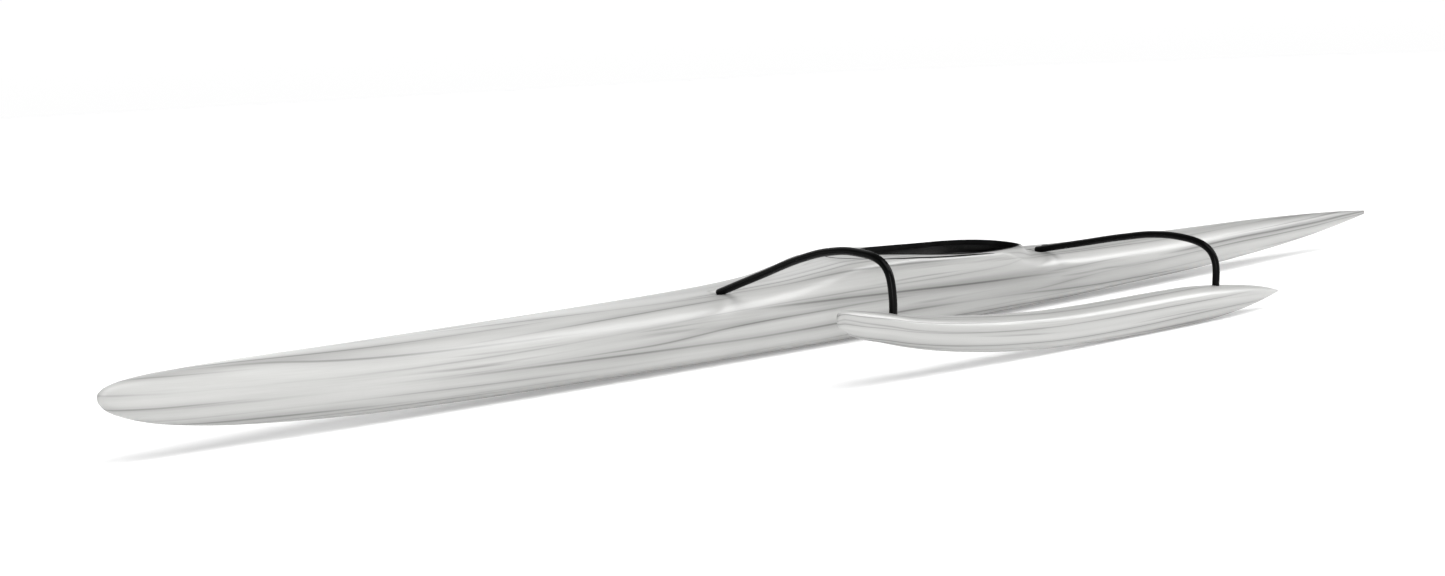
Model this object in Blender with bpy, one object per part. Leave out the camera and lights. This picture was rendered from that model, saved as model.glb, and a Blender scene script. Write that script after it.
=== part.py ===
"""One-person outrigger canoe: decked hull, cockpit, two bent struts and a float.

Metres, +Z up. The boat is first drawn upright, in hull coordinates:
  s  distance aft of the bow tip, along the keel
  y  distance to port of the hull's centre plane
  z  height above the lowest point of the keel
An empty then lays the whole boat down as it parks, on its keel and its float.
"""

import math
from typing import NamedTuple

import bpy
import bmesh
import numpy as np

# Driving dimensions
HULL_LENGTH = 7.30
CLEARANCE = 0.0003          # between pieces that touch
SHELL = 0.006               # hull and deck laminate around the cockpit
FORE_BULKHEAD = 2.66        # s of the wall in front of the feet
AFT_BULKHEAD = 4.36         # s of the wall behind the cockpit
LOWER_EXPONENT = 2.3        # superellipse exponent of the hull below its sheer
QUARTER_STEPS = 9           # outline steps from the sheer to the keel or crown
STATION_STEP = 0.22         # longest distance between sections

# Cockpit opening
OPENING_FRONT = 3.29
OPENING_WIDEST = 3.87
OPENING_AFT = 4.31
OPENING_HALF_WIDTH = 0.187
FRONT_POWERS = (1.8, 0.75)   # how the opening tapers forward of its widest place
AFT_ROUND = 2.2             # superellipse exponent of its round aft end
OPENING_CUT = (0.20, 0.45)  # heights that the opening is cut between
LIP_WALL = 0.004
LIP_DEPTH = 0.022
LIP_RISE = 0.002

# Seat and foot rest
SEAT_FRONT = 3.70
SEAT_BACK = 4.06
SEAT_HEIGHT = 0.125
SHELF_HEIGHT = 0.235
SHELF_RISE = 0.022          # from the shelf's front edge to its aft end
SEAT_FIT = 0.0016           # seat to shell, clear of the shell's flat facets
SEAT_FALL = 0.0076          # how much lower the pad's aft edge lies than its front edge
PAD_THICKNESS = 0.014
PAD_MARGIN = 0.012          # from the pad's sides to the hull
PAD_FRONT = SEAT_FRONT + 0.035
PAD_BACK = SEAT_BACK - 0.065
RAIL_FRONT = 2.74
RAIL_AFT = 3.20
RAIL_WIDTH = 0.030
RAIL_HEIGHT = 0.014
RAIL_LIFT = 0.0013          # rail to floor, clear of the floor's rise at its front end
FOOT_REST_AT = 2.90
FOOT_REST_WIDTH = 0.210
FOOT_REST_TOP = 0.150
FOOT_REST_NECK = 0.040      # its width where it meets the rail
FOOT_REST_THICKNESS = 0.010
FOOT_REST_LEAN = 0.25       # forward per metre of height

# Struts and float
TUBE_RADIUS = 0.015
TUBE_SIDES = 12
FRONT_STRUT_AT = 2.505
REAR_STRUT_AT = 4.430
SOCKET_END = -0.02          # y of the struts' ends inside the hull
FLOAT_NOSE = 2.228          # s of the float's nose
FLOAT_LENGTH = 2.66
FLOAT_OFFSET = 0.982        # y of the float's axis at the front strut
FLOAT_TOE = 0.0125          # metres the float opens outwards per metre aft
FLOAT_SEAM = 0.70           # height of the float's seam, as a part of its depth
FLOAT_SQUARE = (2.4, 2.2)   # superellipse exponents above and below the seam
FLOAT_STEP = 0.16           # longest distance between the float's sections
TUBE_STEP = 0.06            # longest distance between a tube's rings

# Vent plug on the aft deck
PLUG_AT = 4.57
PLUG_RADIUS = 0.022
PLUG_HEIGHT = 0.007
PLUG_RECESS = 0.002
PLUG_BEVEL = 0.002
PLUG_SIDES = 20


# Top of the seat moulding from front to aft, up its back and over its shelf: s, z
SEAT_PROFILE = (
    (SEAT_FRONT, SEAT_HEIGHT - 0.012), (SEAT_FRONT + 0.03, SEAT_HEIGHT),
    (SEAT_BACK - 0.06, SEAT_HEIGHT - SEAT_FALL), (SEAT_BACK - 0.03, SEAT_HEIGHT + 0.012),
    (SEAT_BACK - 0.008, SEAT_HEIGHT + 0.055), (SEAT_BACK, SHELF_HEIGHT),
    (SEAT_BACK + 0.10, SHELF_HEIGHT + 0.006),
)


class Station(NamedTuple):
    """One section of the hull; square is the deck's superellipse exponent."""
    s: float
    keel: float
    sheer: float
    crown: float
    beam: float
    square: float


HULL = [Station(*row) for row in (
    # s     keel   sheer  crown  beam   square
    (0.000, 0.212, 0.226, 0.238, 0.006, 2.2),
    (0.025, 0.183, 0.224, 0.255, 0.019, 2.2),
    (0.080, 0.153, 0.220, 0.269, 0.034, 2.2),
    (0.200, 0.114, 0.212, 0.279, 0.053, 2.2),
    (0.500, 0.067, 0.200, 0.283, 0.082, 2.2),
    (1.000, 0.031, 0.184, 0.281, 0.120, 2.2),
    (1.600, 0.015, 0.174, 0.282, 0.152, 2.2),
    (2.100, 0.009, 0.170, 0.284, 0.173, 2.3),
    (2.500, 0.005, 0.170, 0.289, 0.186, 2.5),
    (2.780, 0.002, 0.172, 0.297, 0.193, 3.2),
    (3.000, 0.000, 0.175, 0.322, 0.198, 4.6),
    (3.150, 0.000, 0.177, 0.342, 0.201, 7.0),
    (3.400, 0.000, 0.177, 0.339, 0.204, 11.0),
    (3.700, 0.000, 0.174, 0.321, 0.206, 13.0),
    (3.950, 0.000, 0.171, 0.311, 0.206, 13.0),
    (4.180, 0.002, 0.168, 0.303, 0.203, 9.0),
    (4.340, 0.005, 0.164, 0.291, 0.198, 5.0),
    (4.440, 0.007, 0.161, 0.258, 0.194, 3.4),
    (4.600, 0.010, 0.157, 0.250, 0.187, 2.8),
    (5.000, 0.020, 0.151, 0.242, 0.167, 2.4),
    (5.600, 0.033, 0.146, 0.233, 0.131, 2.2),
    (6.200, 0.060, 0.148, 0.227, 0.091, 2.2),
    (6.700, 0.095, 0.157, 0.214, 0.055, 2.2),
    (7.100, 0.138, 0.170, 0.197, 0.023, 2.2),
    (7.300, 0.164, 0.173, 0.183, 0.004, 2.2),
)]


class FloatStation(NamedTuple):
    """One section of the float; a is the distance aft of its nose."""
    a: float
    bottom: float
    top: float
    half_width: float


FLOAT = [FloatStation(*row) for row in (
    # a     bottom top    half width
    (0.000, 0.314, 0.346, 0.007),
    (0.025, 0.292, 0.358, 0.020),
    (0.110, 0.251, 0.349, 0.036),
    (0.220, 0.222, 0.331, 0.048),
    (0.340, 0.191, 0.307, 0.057),
    (0.550, 0.149, 0.278, 0.065),
    (0.850, 0.108, 0.248, 0.070),
    (1.150, 0.084, 0.229, 0.072),
    (1.450, 0.073, 0.224, 0.073),
    (1.750, 0.067, 0.224, 0.073),
    (2.000, 0.067, 0.222, 0.070),
    (2.200, 0.076, 0.210, 0.063),
    (2.400, 0.093, 0.190, 0.049),
    (2.550, 0.115, 0.167, 0.031),
    (2.660, 0.134, 0.141, 0.005),
)]

# Strut centrelines in their own upright planes: y, z
FRONT_STRUT = (
    (SOCKET_END, 0.245), (0.072, 0.283), (0.300, 0.376), (0.510, 0.461), (0.650, 0.502),
    (0.770, 0.518), (0.860, 0.515), (0.925, 0.496), (0.960, 0.458), (0.975, 0.404),
    (0.982, 0.340), (0.982, 0.262),
)
REAR_STRUT = (
    (SOCKET_END, 0.236), (0.068, 0.258), (0.300, 0.311), (0.540, 0.365), (0.690, 0.391),
    (0.775, 0.396), (0.855, 0.392), (0.925, 0.379), (0.977, 0.350), (1.003, 0.303),
    (1.008, 0.258), (1.006, 0.150),
)


def smooth_column(knots, values, where):
    """Smooth curve through a table's points that never overshoots them."""
    knots = np.asarray(knots, float)
    values = np.asarray(values, float)
    where = np.clip(np.asarray(where, float), knots[0], knots[-1])
    step = np.diff(knots)
    slope = np.diff(values) / step
    tangent = np.zeros_like(values)
    tangent[0] = slope[0]
    tangent[-1] = slope[-1]
    before, after = slope[:-1], slope[1:]
    rising = before * after > 0
    weight_a = 2 * step[1:] + step[:-1]
    weight_b = step[1:] + 2 * step[:-1]
    safe_before = np.where(rising, before, 1.0)
    safe_after = np.where(rising, after, 1.0)
    mean = (weight_a + weight_b) / (weight_a / safe_before + weight_b / safe_after)
    tangent[1:-1] = np.where(rising, mean, 0.0)
    i = np.clip(np.searchsorted(knots, where, side="right") - 1, 0, len(step) - 1)
    u = (where - knots[i]) / step[i]
    return ((1 + 2 * u) * (1 - u) ** 2 * values[i] + u * (1 - u) ** 2 * step[i] * tangent[i]
            + u * u * (3 - 2 * u) * values[i + 1] + u * u * (u - 1) * step[i] * tangent[i + 1])


def hull_station(s):
    """The hull's section at s, read from the smooth curves through the table."""
    columns = list(zip(*HULL))
    return Station(s, *(float(smooth_column(columns[0], column, s)) for column in columns[1:]))


def float_station(a):
    """The float's section at a."""
    columns = list(zip(*FLOAT))
    return FloatStation(a, *(float(smooth_column(columns[0], column, a)) for column in columns[1:]))


def arc(half_width, height, exponent, steps):
    """Half an outline from +half_width over height to -half_width, a superellipse."""
    points = []
    for k in range(2 * steps + 1):
        angle = math.pi * k / (2 * steps)
        across, up = math.cos(angle), math.sin(angle)
        reach = (abs(across) ** exponent + abs(up) ** exponent) ** (-1 / exponent)
        points.append((half_width * across * reach, height * up * reach))
    return points


def lower_outline(station, inset=0.0):
    """Hull section from the port sheer down round the keel to the starboard sheer."""
    depth = station.sheer - station.keel - inset
    return [(y, station.sheer - z)
            for y, z in arc(station.beam - inset, depth, LOWER_EXPONENT, QUARTER_STEPS)]


def upper_outline(station, inset=0.0):
    """Deck section from the port sheer over the crown to the starboard sheer."""
    height = station.crown - station.sheer - inset
    return [(y, station.sheer + z)
            for y, z in arc(station.beam - inset, height, station.square, QUARTER_STEPS)]


def half_breadth(station, z, inset):
    """Half width of the inner hull at height z."""
    beam = station.beam - inset
    if z < station.sheer:
        u = (station.sheer - z) / (station.sheer - station.keel - inset)
        exponent = LOWER_EXPONENT
    else:
        u = (z - station.sheer) / (station.crown - station.sheer - inset)
        exponent = station.square
    return beam * (1 - min(u, 1.0) ** exponent) ** (1 / exponent)


def section_places(knots, first, last, step=STATION_STEP):
    """Section places from first to last: the table's own, with more in long gaps."""
    marks = [first] + [k for k in knots if first + 0.004 < k < last - 0.004] + [last]
    places = []
    for low, high in zip(marks, marks[1:]):
        count = max(1, math.ceil((high - low) / step))
        places.extend(low + (high - low) * k / count for k in range(count))
    return places + [last]


def ship_point(s, y, z):
    """Hull coordinates to model coordinates, +X towards the bow."""
    return (HULL_LENGTH / 2 - s, y, z)


def make_material(name, color, roughness, metallic=0.0):
    """A plain surface for one piece."""
    material = bpy.data.materials.new(name)
    material.use_nodes = True
    shader = material.node_tree.nodes["Principled BSDF"]
    shader.inputs["Base Color"].default_value = (*color, 1.0)
    shader.inputs["Roughness"].default_value = roughness
    shader.inputs["Metallic"].default_value = metallic
    material.diffuse_color = (*color, 1.0)
    return material


def make_object(name, mesh, material, smooth_angle=40):
    """Link a mesh as one named piece."""
    if smooth_angle:
        mesh.shade_smooth()
        mesh.set_sharp_from_angle(angle=math.radians(smooth_angle))
    piece = bpy.data.objects.new(name, mesh)
    piece.data.materials.append(material)
    bpy.context.scene.collection.objects.link(piece)
    return piece


def loft(name, rings, material, smooth_angle=40):
    """A closed solid skinned over equal closed rings, with a flat cap at each end."""
    mesh = bpy.data.meshes.new(name)
    body = bmesh.new()
    rows = [[body.verts.new(point) for point in ring] for ring in rings]
    count = len(rows[0])
    for row, following in zip(rows, rows[1:]):
        for k in range(count):
            turn = (k + 1) % count
            body.faces.new((row[k], row[turn], following[turn], following[k]))
    body.faces.new(rows[0])
    body.faces.new(list(reversed(rows[-1])))
    bmesh.ops.recalc_face_normals(body, faces=body.faces)
    body.to_mesh(mesh)
    body.free()
    return make_object(name, mesh, material, smooth_angle)


def cut(piece, cutter):
    """Subtract the cutter from the piece for good, then drop the cutter."""
    modifier = piece.modifiers.new("cut", "BOOLEAN")
    modifier.object = cutter
    modifier.operation = "DIFFERENCE"
    modifier.solver = "EXACT"
    evaluated = piece.evaluated_get(bpy.context.evaluated_depsgraph_get())
    mesh = bpy.data.meshes.new_from_object(evaluated)
    piece.modifiers.clear()
    piece.data = mesh
    bpy.data.objects.remove(cutter)


def hull_rings(first, last):
    """Sections of the solid lower hull, closed flat at the sheer."""
    rings = []
    for s in section_places([row.s for row in HULL], first, last):
        station = hull_station(s)
        rings.append([ship_point(s, y, z) for y, z in lower_outline(station)])
    return rings


def deck_rings(first, last):
    """Sections of the solid deck, closed flat just above the sheer."""
    rings = []
    for s in section_places([row.s for row in HULL], first, last):
        station = hull_station(s)
        rings.append([ship_point(s, y, z + CLEARANCE) for y, z in upper_outline(station)])
    return rings


def shell_rings(outline, lift, first, last):
    """Sections of an open shell: the outer outline and the inner one, run back."""
    rings = []
    for s in section_places([row.s for row in HULL], first, last):
        station = hull_station(s)
        section = outline(station) + list(reversed(outline(station, SHELL)))
        rings.append([ship_point(s, y, z + lift) for y, z in section])
    return rings


def opening_half_width(s, inset=0.0):
    """Half width of the cockpit opening: a long taper forward, a round aft end."""
    width = OPENING_HALF_WIDTH - inset
    if s < OPENING_WIDEST:
        u = (OPENING_WIDEST - s) / (OPENING_WIDEST - OPENING_FRONT - inset)
        return width * (1 - min(u, 1.0) ** FRONT_POWERS[0]) ** FRONT_POWERS[1]
    u = (s - OPENING_WIDEST) / (OPENING_AFT - OPENING_WIDEST - inset)
    return width * (1 - min(u, 1.0) ** AFT_ROUND) ** (1 / AFT_ROUND)


def opening_outline(inset=0.0, steps=14):
    """The opening's closed outline as s, y pairs, port side first."""
    front = OPENING_FRONT + inset
    aft = OPENING_AFT - inset
    places = [front + (OPENING_WIDEST - front) * (1 - math.cos(math.pi / 2 * k / steps))
              for k in range(steps)]
    places += [OPENING_WIDEST + (aft - OPENING_WIDEST) * math.sin(math.pi / 2 * k / steps)
               for k in range(steps + 1)]
    port = [(s, opening_half_width(s, inset)) for s in places]
    starboard = [(s, -y) for s, y in reversed(port[1:-1])]
    return port + starboard


def make_hull(wood):
    """The lower moulding, in its three lengths between the bulkheads."""
    loft("hull_fore", hull_rings(0.0, FORE_BULKHEAD), wood)
    loft("hull_aft", hull_rings(AFT_BULKHEAD, HULL_LENGTH), wood)
    loft("hull_mid", shell_rings(lower_outline, 0.0, FORE_BULKHEAD + CLEARANCE,
                                 AFT_BULKHEAD - CLEARANCE), wood)


def make_deck(wood):
    """The upper moulding: solid fore and aft, a shell round the cockpit."""
    fore = loft("deck_fore", deck_rings(0.0, FORE_BULKHEAD), wood)
    cut(fore, strut_tube("fore_socket", FRONT_STRUT, FRONT_STRUT_AT, wood, CLEARANCE))
    aft = loft("deck_aft", deck_rings(AFT_BULKHEAD, HULL_LENGTH), wood)
    cut(aft, strut_tube("aft_socket", REAR_STRUT, REAR_STRUT_AT, wood, CLEARANCE))
    recess = PLUG_RADIUS + CLEARANCE
    cut(aft, disc("plug_recess", ((plug_seat(), recess), (plug_seat() + PLUG_HEIGHT, recess)), wood))
    middle = loft("deck_mid", shell_rings(upper_outline, CLEARANCE, FORE_BULKHEAD + CLEARANCE,
                                          AFT_BULKHEAD - CLEARANCE), wood)
    outline = opening_outline()
    cut(middle, loft("opening", [[ship_point(s, y, z) for s, y in outline] for z in OPENING_CUT],
                     wood))


def make_lip(black):
    """The lip that lines the opening's edge, following the deck's height."""
    outer = opening_outline(CLEARANCE)
    inner = opening_outline(LIP_WALL)
    rings = []
    for (s_out, y_out), (s_in, y_in) in zip(outer, inner):
        top = hull_station(s_out).crown + LIP_RISE
        rings.append([ship_point(s_out, y_out, top), ship_point(s_in, y_in, top),
                      ship_point(s_in, y_in, top - LIP_DEPTH),
                      ship_point(s_out, y_out, top - LIP_DEPTH)])
    mesh = bpy.data.meshes.new("cockpit_lip")
    body = bmesh.new()
    rows = [[body.verts.new(point) for point in ring] for ring in rings]
    for row, following in zip(rows, rows[1:] + rows[:1]):
        for k in range(4):
            turn = (k + 1) % 4
            body.faces.new((row[k], row[turn], following[turn], following[k]))
    bmesh.ops.recalc_face_normals(body, faces=body.faces)
    body.to_mesh(mesh)
    body.free()
    make_object("cockpit_lip", mesh, black, 30)


def filled_section(s, top, inset, steps=8):
    """The inside of the hull at s, filled up to the height top."""
    station = hull_station(s)
    floor = station.keel + inset
    heights = [floor + (top - floor) * (k / steps) ** 2 for k in range(1, steps + 1)]
    port = [(half_breadth(station, z, inset), z) for z in heights]
    starboard = [(-y, z) for y, z in reversed(port)]
    return [ship_point(s, y, z) for y, z in [(0.0, floor)] + port + starboard]


def make_seat(carbon, foam):
    """The seat moulding with its back and aft shelf, and the pad on it."""
    inset = SHELL + SEAT_FIT
    aft_end = AFT_BULKHEAD - 2 * CLEARANCE
    profile = SEAT_PROFILE + ((aft_end, SHELF_HEIGHT + SHELF_RISE),)
    bends, tops = zip(*profile)
    shared = [s for s in section_places([row.s for row in HULL], FORE_BULKHEAD, AFT_BULKHEAD)
              if bends[0] < s < bends[-1]]
    places = sorted(set(bends) | set(shared))
    loft("seat_unit", [filled_section(s, float(np.interp(s, bends, tops)), inset)
                       for s in places], carbon, 30)
    half = half_breadth(hull_station(SEAT_FRONT + 0.03), SEAT_HEIGHT, inset) - PAD_MARGIN
    rings = []
    for s, fall in ((PAD_FRONT, 0.0), (PAD_BACK, SEAT_FALL)):
        low = SEAT_HEIGHT - fall + CLEARANCE
        rings.append([ship_point(s, y, z) for y, z in (
            (half, low), (half, low + PAD_THICKNESS),
            (-half, low + PAD_THICKNESS), (-half, low))])
    loft("seat_pad", rings, foam, 0)


def make_foot_rest(aluminium, black):
    """The rail along the cockpit floor and the foot rest that slides on it."""
    low = hull_station(RAIL_FRONT).keel + SHELL + RAIL_LIFT
    half = RAIL_WIDTH / 2
    rail = [(half, low), (half, low + RAIL_HEIGHT), (-half, low + RAIL_HEIGHT), (-half, low)]
    loft("foot_rail", [[ship_point(s, y, z) for y, z in rail] for s in (RAIL_FRONT, RAIL_AFT)],
         aluminium, 0)
    foot = low + RAIL_HEIGHT + CLEARANCE
    wide = FOOT_REST_WIDTH / 2
    neck = FOOT_REST_NECK / 2
    port = [(neck, foot), (neck + 0.03, foot + 0.03), (wide, foot + 0.05), (wide, FOOT_REST_TOP)]
    plate = port + [(-y, z) for y, z in reversed(port)]
    rings = []
    for offset in (0.0, FOOT_REST_THICKNESS):
        rings.append([ship_point(FOOT_REST_AT + offset - FOOT_REST_LEAN * (z - foot), y, z)
                      for y, z in plate])
    loft("foot_rest", rings, black, 0)


def strut_tube(name, path, place, material, extra=0.0):
    """A round tube swept along one strut's centreline, extra for its socket's cutter."""
    path = np.array(path)
    chord = np.concatenate(([0.0], np.cumsum(np.hypot(*np.diff(path, axis=0).T))))
    places = []
    for low, high in zip(chord, chord[1:]):
        count = max(2, math.ceil((high - low) / TUBE_STEP))
        places.extend(low + (high - low) * k / count for k in range(count))
    places.append(chord[-1])
    places = np.array(places)
    centre = np.stack([smooth_column(chord, path[:, 0], places),
                       smooth_column(chord, path[:, 1], places)], axis=1)
    run = np.gradient(centre, axis=0)
    run /= np.hypot(run[:, 0], run[:, 1])[:, None]
    if extra:
        centre[0] -= run[0] * CLEARANCE
        centre[-1] += run[-1] * CLEARANCE
    rings = []
    for (y, z), (along_y, along_z) in zip(centre, run):
        ring = []
        for k in range(TUBE_SIDES):
            angle = 2 * math.pi * (k + 0.5) / TUBE_SIDES
            side = (TUBE_RADIUS + extra) * math.cos(angle)
            up = (TUBE_RADIUS + extra) * math.sin(angle)
            ring.append(ship_point(place + side, y - up * along_z, z + up * along_y))
        rings.append(ring)
    return loft(name, rings, material)


def float_axis(s):
    """y of the float's axis at s."""
    return FLOAT_OFFSET + FLOAT_TOE * (s - FRONT_STRUT_AT)


def float_rings(upper):
    """Sections of the float's upper or lower half, split at its seam."""
    rings = []
    for a in section_places([row.a for row in FLOAT], 0.0, FLOAT_LENGTH, FLOAT_STEP):
        station = float_station(a)
        seam = station.bottom + FLOAT_SEAM * (station.top - station.bottom)
        if upper:
            section = [(y, seam + CLEARANCE + z) for y, z in
                       arc(station.half_width, station.top - seam, FLOAT_SQUARE[0], QUARTER_STEPS)]
        else:
            section = [(y, seam - z) for y, z in
                       arc(station.half_width, seam - station.bottom, FLOAT_SQUARE[1],
                           QUARTER_STEPS)]
        s = FLOAT_NOSE + a
        rings.append([ship_point(s, y + float_axis(s), z) for y, z in section])
    return rings


def make_float(wood):
    """The float's two mouldings, with sockets for the struts' feet."""
    for name, upper in (("ama_lower", False), ("ama_upper", True)):
        piece = loft(name, float_rings(upper), wood)
        cut(piece, strut_tube("front_foot", FRONT_STRUT, FRONT_STRUT_AT, wood, CLEARANCE))
        cut(piece, strut_tube("rear_foot", REAR_STRUT, REAR_STRUT_AT, wood, CLEARANCE))


def disc(name, levels, material):
    """A turned plug on the aft deck, from height and radius pairs."""
    rings = []
    for z, radius in levels:
        rings.append([ship_point(PLUG_AT + radius * math.cos(math.tau * k / PLUG_SIDES),
                                 radius * math.sin(math.tau * k / PLUG_SIDES), z)
                      for k in range(PLUG_SIDES)])
    return loft(name, rings, material, 30)


def plug_seat():
    """Height of the flat recess that the vent plug sits in."""
    return hull_station(PLUG_AT + PLUG_RADIUS).crown - PLUG_RECESS


def make_plug(black):
    """The round vent plug in its recess on the aft deck."""
    low = plug_seat() + CLEARANCE
    disc("vent_plug", ((low, PLUG_RADIUS), (low + PLUG_HEIGHT, PLUG_RADIUS),
                       (low + PLUG_HEIGHT + PLUG_BEVEL, PLUG_RADIUS - PLUG_BEVEL)), black)


def turned(points, heel):
    """Points heeled by an angle, to port when positive, about the keel line."""
    y, z = points[:, 1], points[:, 2]
    return np.stack([points[:, 0], y * math.cos(heel) + z * math.sin(heel),
                     z * math.cos(heel) - y * math.sin(heel)], axis=1)


def lay_down(pieces):
    """Heel the boat to port until keel and float share one floor, and centre it."""
    points = {piece.name: np.array([tuple(v.co) for v in piece.data.vertices])
              for piece in pieces}
    hull = np.concatenate([points[name] for name in ("hull_fore", "hull_mid", "hull_aft")])
    low, high = 0.0, math.radians(10)
    for _ in range(50):
        heel = (low + high) / 2
        if turned(points["ama_lower"], heel)[:, 2].min() > turned(hull, heel)[:, 2].min():
            low = heel
        else:
            high = heel
    everything = turned(np.concatenate(list(points.values())), heel)
    bottom, top = everything.min(axis=0), everything.max(axis=0)
    rest = bpy.data.objects.new("rest_pose", None)
    bpy.context.scene.collection.objects.link(rest)
    rest.rotation_euler = (-heel, 0.0, 0.0)
    rest.location = (-(bottom[0] + top[0]) / 2, -(bottom[1] + top[1]) / 2, -bottom[2])
    for piece in pieces:
        piece.parent = rest


def main():
    """Build the canoe."""
    for leftover in list(bpy.data.objects):
        bpy.data.objects.remove(leftover, do_unlink=True)
    wood = make_material("grey_wood", (0.72, 0.71, 0.68), 0.30)
    black = make_material("gloss_black", (0.02, 0.02, 0.02), 0.25)
    carbon = make_material("carbon_liner", (0.05, 0.05, 0.05), 0.40)
    foam = make_material("black_foam", (0.03, 0.03, 0.03), 0.90)
    aluminium = make_material("aluminium", (0.60, 0.60, 0.62), 0.35, 1.0)
    make_hull(wood)
    make_deck(wood)
    make_lip(black)
    make_seat(carbon, foam)
    make_foot_rest(aluminium, black)
    strut_tube("iako_front", FRONT_STRUT, FRONT_STRUT_AT, black)
    strut_tube("iako_rear", REAR_STRUT, REAR_STRUT_AT, black)
    make_float(wood)
    make_plug(black)
    lay_down([piece for piece in bpy.data.objects if piece.type == "MESH"])


main()
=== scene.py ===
"""The looks of a one-person outrigger canoe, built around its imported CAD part.

Shapes are worked out in hull coordinates, in metres, on the upright boat:
  s  distance aft of the bow tip, y  distance to port of the centre plane,
  z  height above the lowest point of the keel.
RestPose turns them into the row frame, where the boat lies heeled on keel and float.
"""

import logging
import math
from dataclasses import dataclass, field
from enum import Enum
from typing import Callable, NamedTuple, Optional, Sequence

import bmesh
import bpy
import numpy as np
from mathutils import Matrix, Vector


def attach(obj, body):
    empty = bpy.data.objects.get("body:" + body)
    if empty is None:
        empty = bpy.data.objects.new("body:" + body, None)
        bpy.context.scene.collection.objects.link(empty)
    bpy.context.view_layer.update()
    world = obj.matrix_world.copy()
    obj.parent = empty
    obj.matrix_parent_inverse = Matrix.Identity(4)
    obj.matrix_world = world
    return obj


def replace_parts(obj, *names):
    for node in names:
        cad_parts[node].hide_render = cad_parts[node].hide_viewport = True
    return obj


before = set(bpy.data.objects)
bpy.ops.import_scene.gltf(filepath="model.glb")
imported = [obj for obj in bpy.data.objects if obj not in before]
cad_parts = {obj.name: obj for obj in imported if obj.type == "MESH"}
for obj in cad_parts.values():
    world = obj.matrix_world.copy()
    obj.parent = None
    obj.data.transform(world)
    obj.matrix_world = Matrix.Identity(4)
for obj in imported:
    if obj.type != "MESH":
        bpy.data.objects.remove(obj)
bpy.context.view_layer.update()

Array = np.ndarray
Pair = tuple[float, float]
Pairs = tuple[Pair, ...]
Triple = tuple[float, float, float]
Material = bpy.types.Material
Piece = bpy.types.Object
Socket = bpy.types.NodeSocket

LOG = logging.getLogger("canoe")
BODY = "root"
GRAIN_MAP = "Grain"
SEAM_NORMAL = "seam_normal"
WELD = 1e-5
SLIVER = 1e-7
TINY = 1e-9
QUARTER = math.pi / 4
HULL_LENGTH = 7.30


class Slot(Enum):
    """Names for the material slots."""

    WOOD = "grey_wood"
    TUBE = "black_tube"
    TRIM = "black_trim"
    LINER = "dark_liner"
    FOAM = "black_foam"
    METAL = "aluminium"


class Half(Enum):
    """Which half of a moulding a surface belongs to."""

    UPPER = 1.0
    LOWER = -1.0


# ---------------------------------------------------------------- curves


def smooth_curve(knots: Sequence[float], values: Sequence[float],
                 where: Array) -> Array:
    """A smooth curve through a table's points that never overshoots them.

    Between two knots it is a cubic whose end slopes are the weighted harmonic mean
    of the two neighbouring slopes, or level where those differ in sign.

    Args:
        knots: rising places of the table.
        values: the table's value at each knot.
        where: places to read the curve at.

    Returns:
        The curve's values, in the shape of where.
    """
    knots = np.asarray(knots, float)
    values = np.asarray(values, float)
    where = np.clip(np.asarray(where, float), knots[0], knots[-1])
    step = np.diff(knots)
    slope = np.diff(values) / step
    tangent = np.zeros_like(values)
    tangent[0], tangent[-1] = slope[0], slope[-1]
    before, after = slope[:-1], slope[1:]
    rising = before * after > 0
    weight_a = 2 * step[1:] + step[:-1]
    weight_b = step[1:] + 2 * step[:-1]
    safe_before = np.where(rising, before, 1.0)
    safe_after = np.where(rising, after, 1.0)
    mean = (weight_a + weight_b) / (weight_a / safe_before + weight_b / safe_after)
    tangent[1:-1] = np.where(rising, mean, 0.0)
    i = np.clip(np.searchsorted(knots, where, side="right") - 1, 0, len(step) - 1)
    u = (where - knots[i]) / step[i]
    return ((1 + 2 * u) * (1 - u) ** 2 * values[i] + u * (1 - u) ** 2 * step[i] * tangent[i]
            + u * u * (3 - 2 * u) * values[i + 1] + u * u * (u - 1) * step[i] * tangent[i + 1])


def fade(x: Array, low: float, high: float) -> Array:
    """0 below low, 1 above high, and a smooth S between them."""
    u = np.clip((np.asarray(x, float) - low) / (high - low), 0.0, 1.0)
    return u * u * (3 - 2 * u)


def blunt(share: Array) -> Array:
    """The rise of a quarter circle over a share of its radius: 0 at 0, and 1 from 1 on."""
    return np.sqrt(1 - (1 - np.clip(share, 0, 1)) ** 2)


def superellipse(half_width: Array, height: Array, exponent: Array,
                 angle: Array) -> tuple[Array, Array]:
    """Points of a superellipse at polar angles, before it is scaled to its two sizes.

    The unit curve's radius at an angle is (|cos|^n + |sin|^n)^(-1/n).

    Args:
        half_width: size along the first axis.
        height: size along the second axis.
        exponent: n, 2 for an ellipse and more for a squarer form.
        angle: polar angles in radians.

    Returns:
        The two coordinates.
    """
    across, up = np.cos(angle), np.sin(angle)
    reach = (np.abs(across) ** exponent + np.abs(up) ** exponent) ** (-1 / exponent)
    return half_width * across * reach, height * up * reach


def unit(vectors: Array) -> Array:
    """The vectors made one long."""
    return vectors / np.maximum(np.linalg.norm(vectors, axis=-1, keepdims=True), 1e-12)


def girth(points: Array) -> Array:
    """Length along each row of a grid, from its first column to each column."""
    steps = np.linalg.norm(np.diff(points, axis=1), axis=2)
    return np.concatenate([np.zeros((len(points), 1)), np.cumsum(steps, axis=1)], axis=1)


def path_length(path: Array) -> Array:
    """Length along a flat line of points, from its first point to each."""
    return np.concatenate([[0], np.cumsum(np.hypot(*np.diff(path, axis=0).T))])


def stacked(*columns: Array) -> Array:
    """Coordinates broadcast to one shape and stacked as points."""
    return np.stack(np.broadcast_arrays(*columns), axis=-1)


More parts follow.
